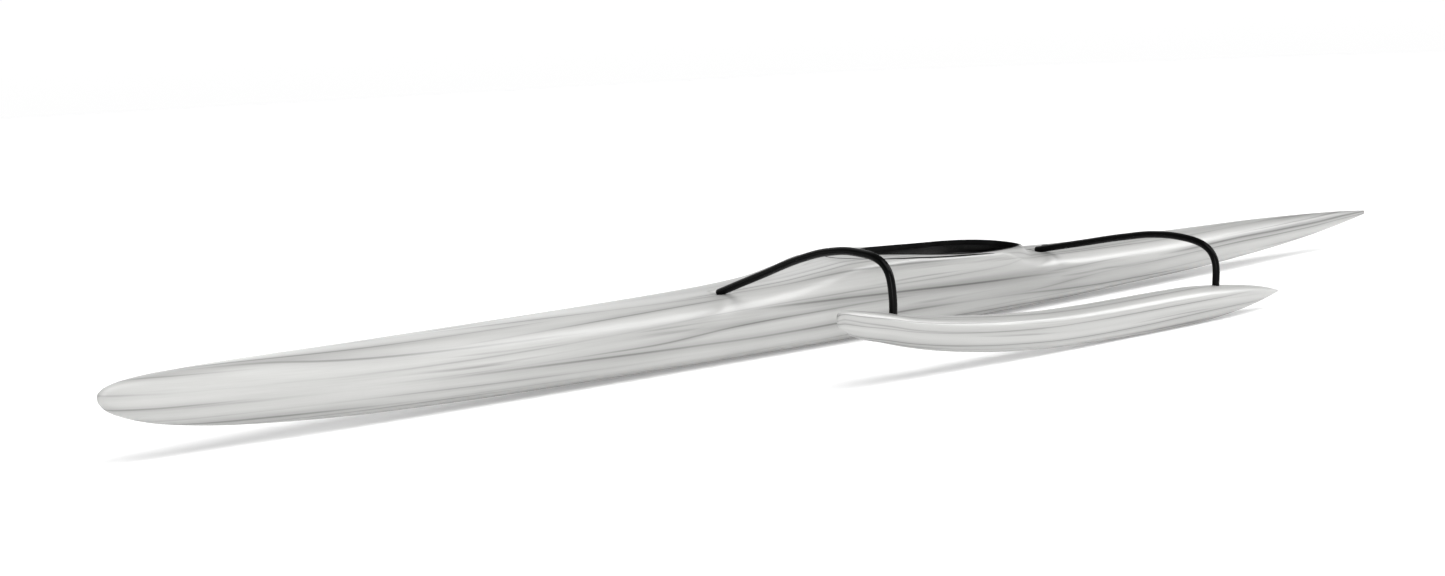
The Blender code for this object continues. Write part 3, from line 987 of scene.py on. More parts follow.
@dataclass(frozen=True)
class WashedWood:
    """Pale grey wood grain under a satin clear coat, its streaks running fore and aft."""

    name: str = "washed_wood"
    ground: Triple = (0.370, 0.370, 0.362)
    pale: Triple = (0.445, 0.445, 0.436)
    streak: Triple = (0.040, 0.040, 0.038)
    bold: GrainLines = GrainLines(10.0, 1.60, 0.10, 0.0105, 0.038, 0.45, 3.0, 0.66)
    thin: GrainLines = GrainLines(18.0, 2.60, -0.25, 0.0070, 0.022, 0.42, 9.0, 0.56)
    wisps: Streaks = Streaks((0.8, 34.0), 17.0, 2.5, 0.53, 0.74, 0.52)
    patches: Streaks = Streaks((0.9, 7.0), 21.0, 1.0, 0.40, 0.62)
    bands: Streaks = Streaks((0.35, 13.0), 33.0, 2.0, 0.46, 0.74, 0.17)
    fibre: Streaks = Streaks((7.0, 330.0), 25.0, 2.0, 0.35, 0.75, 0.05)
    cloud: Streaks = Streaks((0.6, 6.0), 29.0, 2.0, 0.30, 0.70)
    wave_scale: Triple = (1.1, 5.0, 1.0)
    wave: float = 0.030
    loose_scale: Pair = (0.30, 5.0)
    line_length: float = 1 / 0.70
    line_shows: Pair = (0.33, 0.62)
    roughness: Pair = (0.36, 0.48)
    speckle_scale: float = 900.0
    relief: float = 0.00014

    def material(self) -> Material:
        """Long drawn lines with smeared edges, wisps and soft bands on a cloudy ground.

        Returns:
            The material. Its pattern lies in the Grain map: metres along and across.
        """
        n = Nodes.of_material(self.name)
        place = n.add("UVMap", uv_map=GRAIN_MAP).outputs["UV"]
        parts = n.add("SeparateXYZ", {"Vector": place})
        along, across = parts.outputs["X"], parts.outputs["Y"]
        lift = n.times(n.math("SUBTRACT", n.noise(n.grain(self.wave_scale), 1.0), 0.5),
                       self.wave)
        flow = n.add("CombineXYZ", {"X": along, "Y": n.plus(across, lift)}).outputs["Vector"]

        def layer(scale: Pair, offset: float, detail: float = 2.0,
                  aside: float = 0.0) -> Socket:
            """Noise drawn out along the grain, read a little way aside of the point.

            Args:
                scale: scale along and across the grain.
                offset: which part of the noise is read.
                detail: the noise's detail.
                aside: distance across the grain, in metres.

            Returns:
                The noise, from 0 to 1.
            """
            where = n.add("Mapping", {"Vector": flow, "Scale": (*scale, 1.0), "Location": (
                offset, 3.1 * offset + aside * scale[1], 0.0)})
            return n.noise(where.outputs["Vector"], detail)

        def streaks(of: Streaks) -> Socket:
            """One layer, with only its high values left."""
            return n.ramp(layer(of.scale, of.offset, of.detail), of.low, of.high)

        def count(lines: GrainLines, aside: float = 0.0) -> Socket:
            """A number that rises across the grain by one from each line to the next.

            Args:
                lines: the family of lines.
                aside: distance across the grain, in metres.

            Returns:
                The number, half way between two whole ones on a line.
            """
            even = n.math("MULTIPLY_ADD", across, lines.per_metre)
            even.node.inputs[2].default_value = lines.offset + aside * lines.per_metre
            loose = layer(self.loose_scale, lines.offset, 1.0, aside)
            return n.plus(n.plus(even, n.times(along, lines.drift)),
                          n.times(loose, lines.wander))

        def drawn(lines: GrainLines) -> Socket:
            """Dark cores that fade into wider, paler smears; each starts and ends softly.

            The distance to a line is the count's distance to it over the count's slope,
            which keeps a line's width even where the lines spread or crowd.

            Args:
                lines: the family of lines.

            Returns:
                How dark the lines are, from 0 to 1.
            """
            one = count(lines)
            step = 0.002
            slope = n.math("ABSOLUTE", n.math("SUBTRACT", count(lines, step), one))
            slope = n.most(slope, 0.3 * step * lines.per_metre)
            off = n.math("ABSOLUTE", n.math("SUBTRACT", n.math("FRACT", one), 0.5))
            away = n.times(n.math("DIVIDE", off, slope), step)
            line = n.most(n.ramp(away, 0.0, lines.core, 1.0, 0.0),
                          n.ramp(away, 0.0, lines.smear, lines.smear_share, 0.0))
            own = n.add("CombineXYZ", {"X": n.times(along, 1 / self.line_length),
                                       "Y": n.times(n.math("FLOOR", one), 3.7)})
            there = n.ramp(n.noise(own.outputs["Vector"], 1.0), *self.line_shows)
            return n.times(line, there)

        wisps = n.times(streaks(self.wisps), streaks(self.patches))
        fibre = streaks(self.fibre)
        dark = n.most(n.times(drawn(self.bold), self.bold.dark),
                      n.times(drawn(self.thin), self.thin.dark))
        dark = n.most(dark, n.times(wisps, self.wisps.dark))
        dark = n.plus(dark, n.times(streaks(self.bands), self.bands.dark))
        dark = n.plus(dark, n.times(fibre, self.fibre.dark))
        colour = n.blend(dark, n.blend(streaks(self.cloud), self.ground, self.pale),
                         self.streak)
        speckle = n.noise(n.space(self.speckle_scale), 1.0)
        n.bump(n.plus(n.times(speckle, 0.7), n.times(fibre, 0.3)), self.relief, 0.6)
        return n.finish(Base_Color=colour, Roughness=n.ramp(dark, 0.0, 0.8, *self.roughness),
                        Specular_IOR_Level=0.35, Coat_Weight=0.25, Coat_Roughness=0.20)


@dataclass(frozen=True)
class Black:
    """A black surface: smears or rubbed patches over a fine texture."""

    name: str
    colour: Triple
    worn: Triple
    roughness: Pair
    specular: float
    smear: Triple
    texture: Pair
    relief: Pair

    def material(self) -> Material:
        """The smears change the colour and the roughness, and the texture is bump.

        Returns:
            The material.
        """
        n = Nodes.of_material(self.name)
        scale, detail, rough = self.smear
        smear = n.noise(n.space(scale), detail, rough)
        n.bump(n.noise(n.space(self.texture[0]), self.texture[1]), *self.relief)
        return n.finish(Base_Color=n.blend(smear, self.colour, self.worn),
                        Roughness=n.ramp(smear, 0.3, 0.7, *self.roughness),
                        Specular_IOR_Level=self.specular)


GLOSS_BLACK = Black("gloss_black", (0.0012,) * 3, (0.0026,) * 3, (0.20, 0.28), 0.065,
                    (14.0, 4.0, 0.6), (260.0, 1.0), (0.00006, 0.35))
SATIN_BLACK = Black("satin_black", (0.0018,) * 3, (0.0055,) * 3, (0.38, 0.52), 0.06,
                    (30.0, 3.0, 0.5), (700.0, 2.0), (0.00010, 0.6))


@dataclass(frozen=True)
class FleckedLiner:
    """Dark grey laminate with the paler flecks of its fibres."""

    name: str = "flecked_liner"
    colour: Triple = (0.032, 0.032, 0.032)
    fleck: Triple = (0.270, 0.270, 0.266)
    lengthwise: Triple = (170.0, 520.0, 1.0)
    crosswise: Triple = (480.0, 190.0, 1.0)
    roughness: Pair = (0.34, 0.50)

    def material(self) -> Material:
        """Short flecks from two noises, one drawn out each way.

        Returns:
            The material.
        """
        n = Nodes.of_material(self.name)
        along = n.noise(n.grain(self.lengthwise), 3.0, 0.6)
        across = n.noise(n.grain(self.crosswise, (5.0, 3.0, 0.0)), 3.0, 0.6)
        flecks = n.ramp(n.most(along, across), 0.54, 0.74)
        mottle = n.ramp(n.noise(n.space(22.0), 3.0), 0.35, 0.70)
        share = n.times(flecks, n.plus(n.times(mottle, 0.5), 0.3))
        n.bump(flecks, 0.00015, 0.5)
        return n.finish(Base_Color=n.blend(share, self.colour, self.fleck),
                        Roughness=n.ramp(mottle, 0.0, 1.0, *self.roughness))


@dataclass(frozen=True)
class CellFoam:
    """Closed-cell foam: matt, with a fine open skin."""

    name: str = "cell_foam"
    colour: Triple = (0.012, 0.012, 0.012)
    rubbed: Triple = (0.034, 0.034, 0.034)
    cells_per_metre: float = 850.0
    relief: float = 0.00030

    def material(self) -> Material:
        """Round cells about a millimetre across, and paler where it is sat on.

        Returns:
            The material.
        """
        n = Nodes.of_material(self.name)
        cells = n.add("TexVoronoi", {"Vector": n.space(1.0), "Scale": self.cells_per_metre}
                      ).outputs["Distance"]
        wear = n.ramp(n.noise(n.space(18.0), 4.0, 0.6), 0.35, 0.70)
        n.bump(cells, self.relief, 0.7)
        return n.finish(Base_Color=n.blend(wear, self.colour, self.rubbed),
                        Roughness=n.ramp(cells, 0.0, 0.8, 0.95, 0.78))


@dataclass(frozen=True)
class BrushedMetal:
    """Anodised aluminium, brushed along its length."""

    name: str = "brushed_metal"
    colour: Triple = (0.50, 0.50, 0.51)
    dull: Triple = (0.36, 0.36, 0.37)
    brushing: Triple = (6.0, 2400.0, 1.0)
    roughness: Pair = (0.28, 0.42)

    def material(self) -> Material:
        """Fine lines drawn out along the piece.

        Returns:
            The material.
        """
        n = Nodes.of_material(self.name)
        lines = n.noise(n.grain(self.brushing), 3.0)
        stain = n.ramp(n.noise(n.space(35.0), 3.0), 0.40, 0.70)
        n.bump(lines, 0.00004, 0.5)
        return n.finish(Base_Color=n.blend(stain, self.colour, self.dull), Metallic=1.0,
                        Roughness=n.ramp(lines, 0.3, 0.7, *self.roughness))


@dataclass(frozen=True)
class PaleFloor:
    """Plain white studio floor."""

    name: str = "pale_floor"
    colour: Triple = (0.80, 0.80, 0.80)
    cloud: Triple = (0.82, 0.82, 0.82)
    glow: float = 0.20

    def material(self) -> Material:
        """Almost even white, with a little light of its own so that it meets the sky.

        Returns:
            The material.
        """
        n = Nodes.of_material(self.name)
        tone = n.noise(n.space(0.6), 2.0)
        return n.finish(Base_Color=n.blend(tone, self.colour, self.cloud), Roughness=0.95,
                        Emission_Color=(1, 1, 1, 1), Emission_Strength=self.glow)


# ---------------------------------------------------------------- hull and deck


@dataclass
class Moulding:
    """What the hull's and the deck's shells share."""

    wood: Material
    shell: float = 0.0048


@dataclass
class HullMoulding(Moulding):
    """The lower hull: one thin shell from bow to stern."""

    def build(self) -> Piece:
        """Outer and inner skin, joined along the sheer.

        Returns:
            The piece, standing for the three hull nodes.
        """
        s = HULL.places()
        outer = HULL.lower(s)
        inner = HULL.lower(s, self.shell)
        length = girth(outer)
        grain = stacked(s[:, None], -np.minimum(length, length[:, -1:] - length))
        port = HULL.sheer_normal(s)
        patches = [Patch(outer, grain, {0: port, -1: mirrored(port)}), Patch(inner, grain),
                   between(outer[:, 0], inner[:, 0], port),
                   between(outer[:, -1], inner[:, -1], mirrored(port))]
        piece = make_piece("hull_shell", patches, self.wood, 50.0)
        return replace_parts(piece, "hull_fore", "hull_mid", "hull_aft")


@dataclass(frozen=True)
class StrutSocket:
    """A trough pressed into the deck's port side, out of whose inboard end a strut comes."""

    at: float
    inboard: float
    low: float
    slope: float
    flat: float = 0.018
    bank: float = 0.032
    end: float = 0.010
    outward: Pair = (0.04, 0.10)
    soft: float = 0.002

    def sink(self, points: Array) -> Array:
        """How far down each point of the deck's port half moves: onto the strut's underside.

        Args:
            points: a grid on the deck, in hull coordinates.

        Returns:
            One distance per point, 0 away from the socket.
        """
        s, y, z = np.moveaxis(points, -1, 0)
        over = z - (self.low + self.slope * (y - self.inboard))
        over = (over + np.sqrt(over ** 2 + self.soft ** 2)) / 2
        along = 1 - fade(np.abs(s - self.at), self.flat, self.flat + self.bank)
        across = fade(y - self.inboard, -self.end, self.end)
        return over * along * across * (1 - fade(y - self.inboard, *self.outward))


@dataclass
class DeckMoulding(Moulding):
    """The deck: a thin shell from bow to stern with the cockpit cut out of it."""

    sockets: tuple[StrutSocket, ...] = (StrutSocket(2.505, 0.048, 0.2576, 0.41),
                                        StrutSocket(4.430, 0.044, 0.2363, 0.25))

    def build(self) -> Piece:
        """A port and a starboard half that meet on the centreline or at the opening.

        Returns:
            The piece, standing for the three deck nodes.
        """
        s = HULL.places()
        inside = OPENING.spans(s)
        outer = HULL.upper(s)
        inner = HULL.upper(s, self.shell)
        grain = stacked(s[:, None], girth(outer))
        port = HULL.sheer_normal(s)
        sunk = stacked(0.0, 0.0, sum(socket.sink(outer) for socket in self.sockets))
        patches = []
        for side in (1.0, -1.0):
            flip = (1.0, side, 1.0)
            skin, lining = (grid - sunk * (side > 0) for grid in (outer, inner))
            skin, lining = skin * flip, lining * flip
            patches += [Patch(skin, grain, {0: port * flip}), Patch(lining, grain),
                        between(skin[:, 0], lining[:, 0], port * flip),
                        between(skin[inside, -1], lining[inside, -1])]
        piece = make_piece("deck_shell", patches, self.wood, 50.0)
        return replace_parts(piece, "deck_fore", "deck_mid", "deck_aft")


# ---------------------------------------------------------------- cockpit


@dataclass
class CockpitLiner:
    """The dark laminate inside the cockpit, between its two bulkheads."""

    liner: Material
    fore: float = 2.6603
    aft: float = 4.3597
    outside: float = 0.0050
    inside: float = 0.0060
    bulkhead: float = 0.004
    clearance: float = 0.0002
    near: float = 0.002

    def build(self) -> list[Piece]:
        """The lining of hull and deck as one thin shell, and the two bulkheads.

        Returns:
            The three pieces.
        """
        s = HULL.places()
        s = s[(s > self.fore + self.near) & (s < self.aft - self.near)]
        s = np.concatenate([[self.fore], s, [self.aft]])
        hole = OPENING.spans(s)
        patches = []
        skins = [[HULL.lower(s, inset), HULL.upper(s, inset), mirrored(HULL.upper(s, inset))]
                 for inset in (self.outside, self.inside)]
        for outer, inner in zip(*skins):
            patches += [Patch(outer), Patch(inner), between(outer[0], inner[0]),
                        between(outer[-1], inner[-1])]
        for outer, inner in zip(skins[0][1:], skins[1][1:]):
            patches.append(between(outer[hole, -1], inner[hole, -1]))
        return [make_piece("cockpit_liner", patches, self.liner, 50.0),
                self.wall("bulkhead_fore", self.fore),
                self.wall("bulkhead_aft", self.aft - self.bulkhead)]

    def wall(self, name: str, at: float) -> Piece:
        """One bulkhead: the inner section, filled from its rim to its middle.

        Args:
            name: the piece's name.
            at: its fore face's place.

        Returns:
            The piece.
        """
        inset = self.inside + self.clearance
        faces = []
        for s in (at, at + self.bulkhead):
            place = np.array([s])
            deck = HULL.upper(place, inset, opened=False)[0]
            rim = np.concatenate([deck, mirrored(deck)[-2::-1],
                                  HULL.lower(place, inset)[0, -2::-1]])
            centre = np.array([s, 0.0, float(HULL.at(place).sheer[0])])
            share = np.linspace(1, 0, 9)[:, None, None]
            faces.append(centre + (rim - centre) * share)
        patches = [Patch(faces[0]), Patch(faces[1]), between(faces[0][0], faces[1][0])]
        return make_piece(name, patches, self.liner)


@dataclass
class CockpitLip:
    """The black edging of the opening, and a thin black bead of painted shade on the deck round
    it.
    """

    black: Material
    clearance: float = 0.0003
    wall: float = 0.004
    depth: float = 0.020
    rise: float = 0.0025
    line_half_width: float = 0.0046
    line_proud: float = 0.0010
    line_nose: float = 0.06
    line_thins: float = 0.14
    # Path of the black bead of painted shade along the ledge's outer edge, port half.
    line: Pairs = (
        (3.172, 0.000), (3.175, 0.022), (3.185, 0.047), (3.204, 0.075), (3.228, 0.103),
        (3.250, 0.125), (3.273, 0.143), (3.301, 0.158), (3.350, 0.172), (3.425, 0.184),
        (3.511, 0.189), (3.599, 0.192), (3.693, 0.1935), (3.849, 0.1955), (3.975, 0.198),
    )

    def edging(self) -> Piece:
        """A strip with a round top, carried along the opening just inside its edge.

        Returns:
            The piece, standing for the lip's node.
        """
        turn = np.linspace(0, math.pi, 9)
        radius = (self.wall - self.clearance) / 2
        across = np.concatenate([[0.0], radius * (1 - np.cos(turn)), [2 * radius, 0.0]])
        up = np.concatenate([[-self.depth], self.rise - radius + radius * np.sin(turn),
                             [-self.depth, -self.depth]])
        edge = OPENING.outline(0.0)
        top = HULL.deck_height(edge[:, 0], edge[:, 1])
        lines = [OPENING.outline(self.clearance + reach) for reach in across]
        points = np.stack([stacked(line[:, 0], line[:, 1], top + height)
                           for line, height in zip(lines, up)], axis=1)
        piece = make_piece("cockpit_edging", [Patch(points)], self.black)
        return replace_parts(piece, "cockpit_lip")

    def painted_shade_line(self) -> Piece:
        """A low black bead sunk in the deck along the ledge's outer edge, thinning aft; it is
        painted shade, the dark line of the crease at the ledge's edge.

        Returns:
            The piece, which adds to the CAD.
        """
        half = np.array(self.line)
        chord = path_length(half)
        where = np.concatenate([np.linspace(0, self.line_nose, 25),
                                np.linspace(self.line_nose, chord[-1], 140)[1:]])
        s, y = (smooth_curve(chord, half[:, k], where) for k in (0, 1))
        s = np.concatenate([s[::-1], s[1:]])
        y = np.concatenate([-y[::-1], y[1:]])
        top, step = HULL.deck_height, 0.0005
        line = stacked(s, y, top(s, y))
        slope_s = (top(s + step, y) - top(s - step, y)) / (2 * step)
        slope_y = (top(s, y + step) - top(s, y - step)) / (2 * step)
        normal = unit(stacked(-slope_s, -slope_y, 1.0))
        along = unit(np.gradient(line, axis=0))
        side = unit(np.cross(along, normal))
        gone = np.concatenate([where[::-1], where[1:]])
        thin = np.sqrt(np.clip((chord[-1] - gone) / self.line_thins, 0, 1))[:, None]
        # The black bead is painted shade: a dark line where the ledge's crease falls into shadow.
        points = turned_ring(line, side * self.line_half_width * thin,
                             normal * self.line_proud * np.sqrt(thin), 12)
        return make_piece("cockpit_painted_shade_line", [Patch(points)], self.black)

    def build(self) -> list[Piece]:
        """Both pieces."""
        return [self.edging(), self.painted_shade_line()]


@dataclass
class Seat:
    """The seat moulding with its back and aft shelf, and the foam pad on it."""

    liner: Material
    foam: Material
    inset: float = 0.0076
    cove: float = 0.012
    cove_power: float = 8
    cove_from: Pair = (0.03, 0.10)
    least: float = 0.004
    deck_gap: float = 0.0015
    edge_gap: float = 0.004
    profile: Pairs = (
        (3.700, 0.020), (3.7001, 0.100), (3.7025, 0.1125), (3.712, 0.1205), (3.735, 0.1245),
        (3.780, 0.1240), (3.990, 0.1176), (4.018, 0.1250), (4.036, 0.145), (4.047, 0.175),
        (4.053, 0.208), (4.058, 0.225), (4.070, 0.2325), (4.100, 0.2345), (4.160, 0.2340),
        (4.3555, 0.2270),
    )
    pad_front: float = 3.735
    pad_back: float = 3.995
    pad_half_width: float = 0.176
    pad_low_front: float = 0.1253
    pad_low_back: float = 0.1177
    pad_thickness: float = 0.0135
    pad_shoulder: float = 0.42
    pad_corners: Pair = (0.10, 0.12)
    pad_waist: Pair = (0.018, 0.02)
    pad_edge_power: float = 14
    channels: tuple[float, ...] = (-0.52, 0.0, 0.52)
    channel_widths: Pair = (0.035, 0.022)
    channel_depth: float = 0.0026
    hollow_at: Pair = (0.15, 0.45)
    hollow_size: Pair = (0.55, 0.28)
    hollow_depth: float = 0.0030

    def moulding(self) -> Piece:
        """A closed block: its top follows the profile and rises at the sides to a cove.

        Returns:
            The piece, standing for the seat node.
        """
        path = np.array(self.profile)
        chord = path_length(path)
        where = np.unique(np.concatenate([np.linspace(0, chord[-1], 150), chord]))
        s, height = (smooth_curve(chord, path[:, k], where)[:, None] for k in (0, 1))
        floor = HULL.at(s).keel + self.inset
        height = np.maximum(height, floor + self.least)
        across = np.linspace(1, -1, 49)
        reach = np.abs(across)
        up = height + self.cove * reach ** self.cove_power * fade(height, *self.cove_from)
        out = across * HULL.half_breadth(s, up, self.inset)
        lid = HULL.deck_height(s, out) - self.inset - self.deck_gap - self.edge_gap * reach
        up = np.minimum(up, lid)
        top = stacked(s, out, up)
        down = floor + (up[:, :1] - floor) * reach ** 2
        side = np.sign(across) * HULL.half_breadth(s, down, self.inset)
        bottom = stacked(s, np.where(reach <= 0, 0.0, side), down)
        patches = [Patch(top), Patch(bottom), between(top[0], bottom[0]),
                   between(top[-1], bottom[-1])]
        piece = make_piece("seat_moulding", patches, self.liner, 35.0)
        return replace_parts(piece, "seat_unit")

    def pad(self) -> Piece:
        """A foam pad with full edges, pressed channels and two shallow hollows.

        Its plan is a square of parameters drawn in to round corners. The top stands
        over the flat underside by the thickness, less the channels and hollows.

        Returns:
            The piece, standing for the pad's node.
        """
        u = np.sin(np.linspace(-1, 1, 121) * math.pi / 2)[:, None]
        v = np.sin(np.linspace(-1, 1, 141) * math.pi / 2)[None, :]
        x = u * np.sqrt(1 - self.pad_corners[0] * v ** 4)
        y = v * np.sqrt(1 - self.pad_corners[1] * u ** 4)
        half_length = (self.pad_back - self.pad_front) / 2
        s = (self.pad_back + self.pad_front) / 2 + half_length * x * (
            1 - self.pad_waist[0] * (1 - v ** 2))
        across = self.pad_half_width * y * (1 - self.pad_waist[1] * (1 - u ** 2))
        rim = np.maximum(np.abs(u), np.abs(v))
        full = np.sqrt(np.clip(1 - rim ** self.pad_edge_power, 0, 1))
        low = self.pad_low_front + (self.pad_low_back - self.pad_low_front) * (u + 1) / 2
        wide, long = self.channel_widths
        pressed = np.exp(-(y / long) ** 2)
        for place in self.channels:
            pressed = pressed + np.exp(-((x - place) / wide) ** 2)
        hollow = np.exp(-((np.abs(y) - self.hollow_at[1]) / self.hollow_size[1]) ** 2
                        - ((x - self.hollow_at[0]) / self.hollow_size[0]) ** 2)
        depth = self.channel_depth * np.minimum(pressed, 1) + self.hollow_depth * hollow
        shoulder = self.pad_shoulder * self.pad_thickness
        top = low + shoulder + (self.pad_thickness - shoulder - depth) * full
        under = low + shoulder * (1 - full)
        piece = make_piece("seat_pad_foam", [Patch(stacked(s, across, top)),
                                             Patch(stacked(s, across, under))],
                           self.foam, 60.0)
        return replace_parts(piece, "seat_pad")

    def build(self) -> list[Piece]:
        """Both pieces."""
        return [self.moulding(), self.pad()]


@dataclass
class FootRest:
    """The foot rest and the notched rail that it slides on."""

    metal: Material
    black: Material
    rail_front: float = 2.74
    rail_aft: float = 3.20
    rail_low: float = 0.0097
    rail_half: float = 0.015
    rail_height: float = 0.014
    bevel: float = 0.0015
    slot: float = 0.004
    slot_depth: float = 0.006
    slot_bevel: float = 0.001
    end_share: float = 0.93
    notch_pitch: float = 0.020
    notch_depth: float = 0.0025
    notch_margin: float = 0.02
    notch_edge: Pair = (0.55, 0.85)
    rail_step: float = 0.0025
    rail_end: float = 0.006
    plate_at: float = 2.905
    plate_low: float = 0.0240
    plate_top: float = 0.1495
    plate_half_thickness: float = 0.0047
    lean: float = 0.25
    foot_round: float = 0.003
    head_round: float = 0.004
    edge_power: float = 5.0
    rib_pitch: float = 0.011
    rib_depth: float = 0.0011
    rib_edge: Pair = (0.2, 0.8)
    ribs_over_foot: Pair = (0.050, 0.056)
    ribs_under_head: Pair = (0.008, 0.014)
    ribs_from_side: Pair = (0.006, 0.012)
    rounded_share: float = 0.07
    outline: Pairs = (
        (0.000, 0.019), (0.010, 0.022), (0.026, 0.046), (0.040, 0.090), (0.050, 0.1025),
        (0.062, 0.1045), (0.110, 0.1045), (0.120, 0.1010), (0.1255, 0.0900),
    )

    def rail(self) -> Piece:
        """A bar with a sunk slot and bevelled shoulders, notched along both shoulders.

        Returns:
            The piece, standing for the rail's node.
        """
        half, high, bevel, slot = self.rail_half, self.rail_height, self.bevel, self.slot
        sunk = high - self.slot_depth
        y = np.array([0, half - bevel, half, half, half - bevel, slot + self.slot_bevel,
                      slot, slot, 0])
        z = np.array([0, 0, bevel, high - bevel, high, high, high - self.slot_bevel,
                      sunk, sunk])
        y = np.concatenate([y, -y[-2::-1]])
        z = np.concatenate([z, z[-2::-1]])
        front, aft = self.rail_front, self.rail_aft
        s = np.concatenate([[front, front + bevel],
                            np.arange(front + self.rail_end, aft - self.rail_end, self.rail_step),
                            [aft - bevel, aft]])
        cut = fade(np.sin(math.tau * (s - front) / self.notch_pitch), *self.notch_edge)
        cut = cut * (s > front + self.notch_margin) * (s < aft - self.notch_margin)
        shoulder = (z > high - 0.004) & (np.abs(y) > slot + 0.003)
        drop = self.notch_depth * cut[:, None] * shoulder
        ends = np.ones_like(s)
        ends[[0, -1]] = self.end_share
        points = stacked(s[:, None], y * ends[:, None], self.rail_low + z - drop)
        middle = stacked(s[:, None], np.zeros_like(y), self.rail_low + high / 2)
        patches = [Patch(points), between(points[0], middle[0]),
                   between(points[-1], middle[-1])]
        piece = make_piece("foot_rest_rail", patches, self.metal, 30.0)
        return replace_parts(piece, "foot_rail")

    def plate(self) -> Piece:
        """Flat superellipse rings carried up a leaning line, with ribs for the soles.

        Returns:
            The piece, standing for the foot rest's node.
        """
        knots, widths = zip(*self.outline)
        height = self.plate_top - self.plate_low
        foot, head = self.foot_round, self.head_round
        rise = np.concatenate([foot * (1 - np.cos(np.linspace(0, math.pi / 2, 6))),
                               np.linspace(foot, height - head, 90)[1:-1],
                               height - head * (1 - np.sin(np.linspace(0, math.pi / 2, 7)))])
        half = smooth_curve(knots, widths, rise)[:, None]
        thick = blunt(np.minimum(rise / foot, (height - rise) / head))[:, None]
        rise = rise[:, None]
        angle = np.linspace(0, math.tau, 97)
        wide = half * (1 - self.rounded_share + self.rounded_share * thick)
        y, through = superellipse(wide, self.plate_half_thickness * thick,
                                  self.edge_power, angle)
        ribs = fade(np.sin(math.tau * rise / self.rib_pitch), *self.rib_edge)
        ribs = self.rib_depth * ribs * fade(rise, *self.ribs_over_foot)
        ribs = ribs * fade(height - rise, *self.ribs_under_head) * (through > 0)
        through = through - ribs * fade(half - np.abs(y), *self.ribs_from_side)
        s = self.plate_at - self.lean * rise + through
        piece = make_piece("foot_rest_plate", [Patch(stacked(s, y, self.plate_low + rise))],
                           self.black, 40.0)
        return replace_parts(piece, "foot_rest")

    def build(self) -> list[Piece]:
        """Both pieces."""
        return [self.rail(), self.plate()]


# ---------------------------------------------------------------- struts and float


@dataclass
class Strut:
    """One bent tube from its socket in the deck to its foot in the float."""

    name: str
    node: str
    at: float
    path: Pairs
    black: Material
    radius: float = 0.015
    rounding: float = 0.003
    sides: int = 36
    step: float = 0.008
    smoothings: int = 6

    def build(self) -> Piece:
        """A round section carried along a smooth line in one upright plane.

        Returns:
            The piece, standing for the strut's node.
        """
        path = np.array(self.path)
        chord = path_length(path)
        inner = np.concatenate([self.rounding * np.array([0.0, 0.05, 0.2, 0.5]),
                                np.linspace(self.rounding, chord[-1],
                                            int(chord[-1] / self.step))])
        y, z = (smooth_curve(chord, path[:, k], inner) for k in (0, 1))
        for _ in range(self.smoothings):
            for row in (y[4:], z[4:]):
                row[1:-1] = (row[:-2] + 2 * row[1:-1] + row[2:]) / 4
        line = stacked(np.full_like(y, self.at), y, z)
        along = unit(np.gradient(line, axis=0))
        fore = np.broadcast_to((1.0, 0.0, 0.0), line.shape)
        side = np.cross(along, fore)
        radius = self.radius - self.rounding * (1 - blunt(inner / self.rounding))
        points = turned_ring(line, fore * radius[:, None], side * radius[:, None], self.sides)
        caps = [between(points[k], np.broadcast_to(line[k], points[k].shape)) for k in (0, -1)]
        grain = stacked(inner[:, None], np.linspace(0, math.tau * self.radius, self.sides + 1))
        piece = make_piece(self.name, [Patch(points, grain)] + caps, self.black)
        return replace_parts(piece, self.node)


@dataclass
class Float:
    """The float's upper and lower mouldings."""

    wood: Material
    grain_from: float = 47.0
    finer: float = 1.5

    def half(self, name: str, half: Half, node: str) -> Piece:
        """One moulding: a half shell closed flat along the seam.

        Args:
            name: the piece's name.
            half: which moulding it is.
            node: the node that it stands for.

        Returns:
            The piece.
        """
        a = FLOAT.places()
        skin = FLOAT.skin(a, half)
        length = girth(skin)
        length = np.minimum(length, length[:, -1:] - length)
        grain = stacked((FLOAT.nose_at + a + self.grain_from)[:, None],
                        half.value * self.finer * length)
        out = FLOAT.seam_normal(a)
        closing = Patch(np.stack([skin[:, 0], skin[:, -1]], axis=1), None,
                        {0: out, -1: mirrored(out)})
        patches = [Patch(skin, grain, {0: out, -1: mirrored(out)}), closing]
        piece = make_piece(name, patches, self.wood, 50.0)
        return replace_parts(piece, node)

    def build(self) -> list[Piece]:
        """Both pieces."""
        return [self.half("float_top", Half.UPPER, "ama_upper"),
                self.half("float_bottom", Half.LOWER, "ama_lower")]


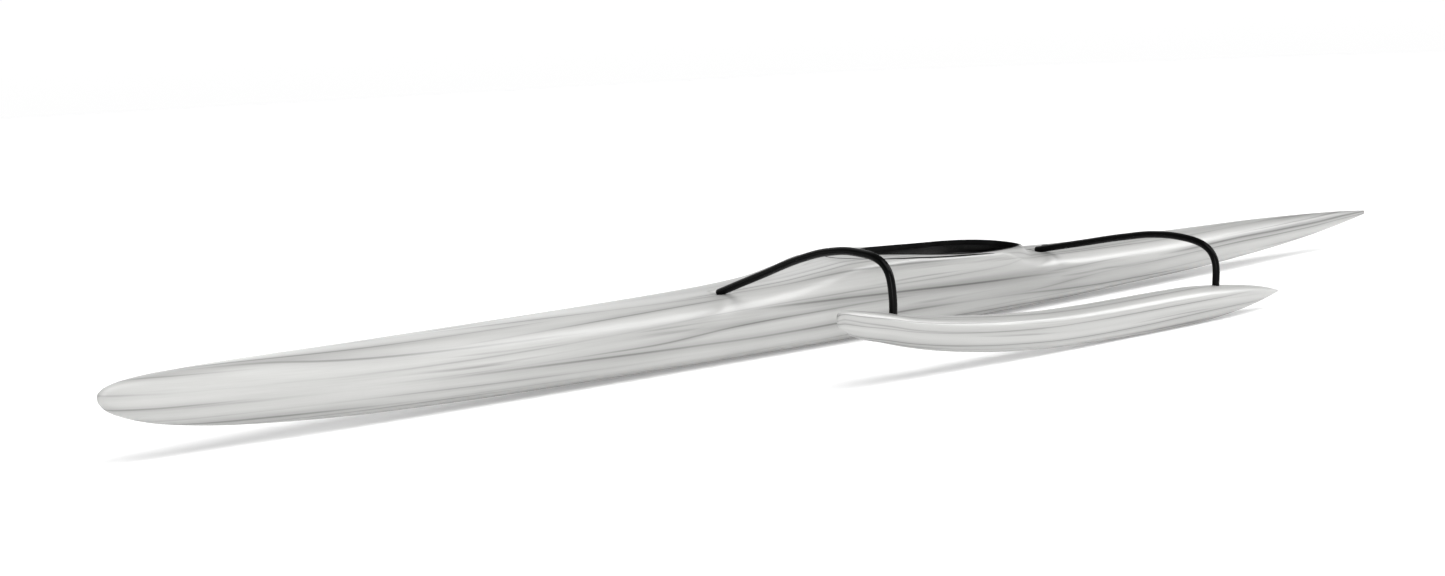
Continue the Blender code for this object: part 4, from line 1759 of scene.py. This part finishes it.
@dataclass
class VentPlug:
    """The round screw plug on the aft deck."""

    black: Material
    at: float = 4.57
    sunk_in: float = 0.0017
    profile: Pairs = (
        (0.0000, 0.0000), (0.0217, 0.0000), (0.0220, 0.0004), (0.0220, 0.0060),
        (0.0215, 0.0078), (0.0200, 0.0088), (0.0160, 0.0090), (0.0150, 0.0086),
        (0.0142, 0.0066), (0.0130, 0.0060), (0.0000, 0.0060),
    )
    teeth: int = 24
    tooth_depth: float = 0.0006
    tooth_edge: Pair = (0.0, 0.6)
    milled_over: float = 0.001
    rim: Pair = (0.0195, 0.0205)
    rim_knot: int = 5
    middle: float = 0.0155
    middle_edge: float = 0.001
    bar_half_width: float = 0.0030
    bar_top: float = 0.0088
    bar_round: float = 0.0008

    def build(self) -> Piece:
        """A turned profile with a finger bar across its sunk middle and a milled rim.

        Returns:
            The piece, standing for the plug's node.
        """
        knots = np.array(self.profile)
        chord = path_length(knots)
        where = np.unique(np.concatenate([chord, np.linspace(0, chord[-1], 120)]))
        radius, height = (np.interp(where, chord, knots[:, k])[:, None] for k in (0, 1))
        angle = np.linspace(0, math.tau, 145)
        milled = fade(np.cos(self.teeth * angle), *self.tooth_edge) * fade(radius, *self.rim)
        radius = radius - self.tooth_depth * milled * (height > self.milled_over)
        across = radius * np.sin(angle)
        bar = fade(self.bar_half_width + self.bar_round - np.abs(across), 0.0,
                   2 * self.bar_round)
        inside = fade(self.middle - radius, 0.0, self.middle_edge)
        inside = inside * (where[:, None] > chord[self.rim_knot])
        height = height + (self.bar_top - height) * bar * inside
        aft_edge = np.array([self.at + max(self.profile)[0]])
        base = float(HULL.at(aft_edge).crown[0]) - self.sunk_in
        s = self.at + radius * np.cos(angle)
        piece = make_piece("vent_plug_cap", [Patch(stacked(s, across, base + height))],
                           self.black, 35.0)
        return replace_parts(piece, "vent_plug")


# ---------------------------------------------------------------- stage


def face(lamp: Piece, way: Vector) -> None:
    """Turn a lamp so that it shines this way."""
    lamp.rotation_euler = way.to_track_quat("-Z", "Y").to_euler()


@dataclass(frozen=True)
class Softbox:
    """One soft studio light."""

    name: str
    place: Triple
    target: Triple
    size: Pair
    power: float

    def build(self) -> None:
        """An oblong area light that faces its target."""
        light = bpy.data.lights.new(self.name, "AREA")
        light.shape = "RECTANGLE"
        light.size, light.size_y = self.size
        light.energy = self.power
        lamp = placed(self.name, light)
        lamp.location = self.place
        face(lamp, Vector(self.target) - Vector(self.place))


@dataclass(frozen=True)
class WideLight:
    """A very large soft light, far enough away to light the whole floor evenly."""

    name: str
    toward: Triple
    width_degrees: float
    strength: float

    def build(self) -> None:
        """A sun lamp as wide as a big softbox."""
        light = bpy.data.lights.new(self.name, "SUN")
        light.angle = math.radians(self.width_degrees)
        light.energy = self.strength
        face(placed(self.name, light), -Vector(self.toward))


@dataclass(frozen=True)
class Studio:
    """Floor, light and the camera at the photograph's viewing angle."""

    reach: float = 70.0
    sky: Pairs = ((0.0, 1.00), (0.06, 1.00), (0.30, 0.28), (1.0, 0.30))
    brightest: float = 2.0
    focal_pixels: float = 2007.0
    image_pixels: float = 1445.0
    sensor: float = 36.0
    eye: Triple = (-2.59765, 5.75023, 1.57443)
    forward: Triple = (0.66, -0.733, -0.1649)
    upward: Triple = (0.1103, -0.1225, 0.9863)
    keys: tuple[WideLight, ...] = (
        WideLight("port_key", (0.15, 0.45, 0.88), 46.0, 2.0),
        WideLight("aft_key", (-0.72, 0.45, 0.53), 34.0, 2.1),
        WideLight("starboard_fill", (-0.20, -0.80, 0.55), 60.0, 1.0),
    )
    lights: tuple[Softbox, ...] = (
        Softbox("tall_box", (9.5, 9.5, 3.1), (1.1, 0.5, 0.4), (0.9, 6.0), 560.0),
    )

    def dome(self) -> bpy.types.World:
        """A sky that is white at the horizon and dim above it.

        Returns:
            The sky.
        """
        n = Nodes(bpy.data.worlds.new("studio_sky"), "Background")
        toward = n.add("TexCoord").outputs["Generated"]
        rise = n.add("SeparateXYZ", {"Vector": toward}).outputs["Z"]
        curve = n.add("FloatCurve", {"Value": rise})
        line = curve.mapping.curves[0]
        for point, (height, light) in zip(line.points, (self.sky[0], self.sky[-1])):
            point.location = (height, light / self.brightest)
        for height, light in self.sky[1:-1]:
            line.points.new(height, light / self.brightest)
        curve.mapping.update()
        return n.finish(Color=(1.0, 1.0, 1.0, 1.0),
                        Strength=n.times(curve.outputs["Value"], self.brightest))

    def floor(self) -> None:
        """A wide flat floor under the boat."""
        corners = [(-self.reach, -self.reach, 0), (self.reach, -self.reach, 0),
                   (self.reach, self.reach, 0), (-self.reach, self.reach, 0)]
        mesh = bpy.data.meshes.new("studio_floor")
        mesh.from_pydata(corners, [], [(0, 1, 2, 3)])
        mesh.materials.append(PaleFloor().material())
        floor = placed("studio_floor", mesh)

    def camera(self) -> None:
        """The camera that the photograph's lines were fitted with."""
        eye = POSE.place(np.array(self.eye))
        forward = unit(POSE.turn(np.array(self.forward)))
        right = unit(np.cross(forward, POSE.turn(np.array(self.upward))))
        up = np.cross(right, forward)
        data = bpy.data.cameras.new("photo_view")
        data.sensor_width = self.sensor
        data.lens = self.focal_pixels / self.image_pixels * self.sensor
        data.clip_end = 4 * self.reach
        camera = placed("photo_view", data)
        turn = Matrix(np.stack([right, up, -forward], axis=1).tolist()).to_4x4()
        camera.matrix_world = Matrix.Translation(Vector(eye)) @ turn
        bpy.context.scene.camera = camera

    def build(self) -> None:
        """Set up everything round the boat."""
        scene = bpy.context.scene
        scene.world = self.dome()
        scene.view_settings.view_transform = "Standard"
        self.floor()
        self.camera()
        for light in self.keys + self.lights:
            light.build()


FRONT_PATH = (
    (0.060, 0.2780), (0.072, 0.283), (0.300, 0.376), (0.510, 0.461), (0.650, 0.502),
    (0.770, 0.518), (0.860, 0.515), (0.925, 0.496), (0.960, 0.458), (0.975, 0.404),
    (0.982, 0.340), (0.982, 0.262),
)
REAR_PATH = (
    (0.056, 0.2550), (0.068, 0.258), (0.300, 0.311), (0.540, 0.365), (0.690, 0.391),
    (0.775, 0.396), (0.855, 0.392), (0.925, 0.379), (0.977, 0.350), (1.003, 0.303),
    (1.008, 0.258), (1.006, 0.150),
)


def report(pieces: Sequence[Piece]) -> None:
    """Log each piece's name and size.

    Args:
        pieces: what was just built.
    """
    for piece in pieces:
        triangles = sum(len(face.vertices) - 2 for face in piece.data.polygons)
        LOG.info("%s: %d triangles", piece.name, triangles)


def main() -> None:
    """Build the studio and the boat, in order."""
    logging.basicConfig(level=logging.INFO, format="%(message)s")
    Studio().build()
    wood = WashedWood().material()
    tube = GLOSS_BLACK.material()
    trim = SATIN_BLACK.material()
    liner = FleckedLiner().material()
    foam = CellFoam().material()
    metal = BrushedMetal().material()
    report([HullMoulding(wood).build(), DeckMoulding(wood).build()])
    report(CockpitLiner(liner).build())
    report(CockpitLip(trim).build())
    report(Seat(liner, foam).build())
    report(FootRest(metal, trim).build())
    report([Strut("strut_front", "iako_front", 2.505, FRONT_PATH, tube).build(),
            Strut("strut_rear", "iako_rear", 4.430, REAR_PATH, tube).build()])
    report(Float(wood).build())
    report([VentPlug(trim).build()])


if __name__ == "__main__":
    main()
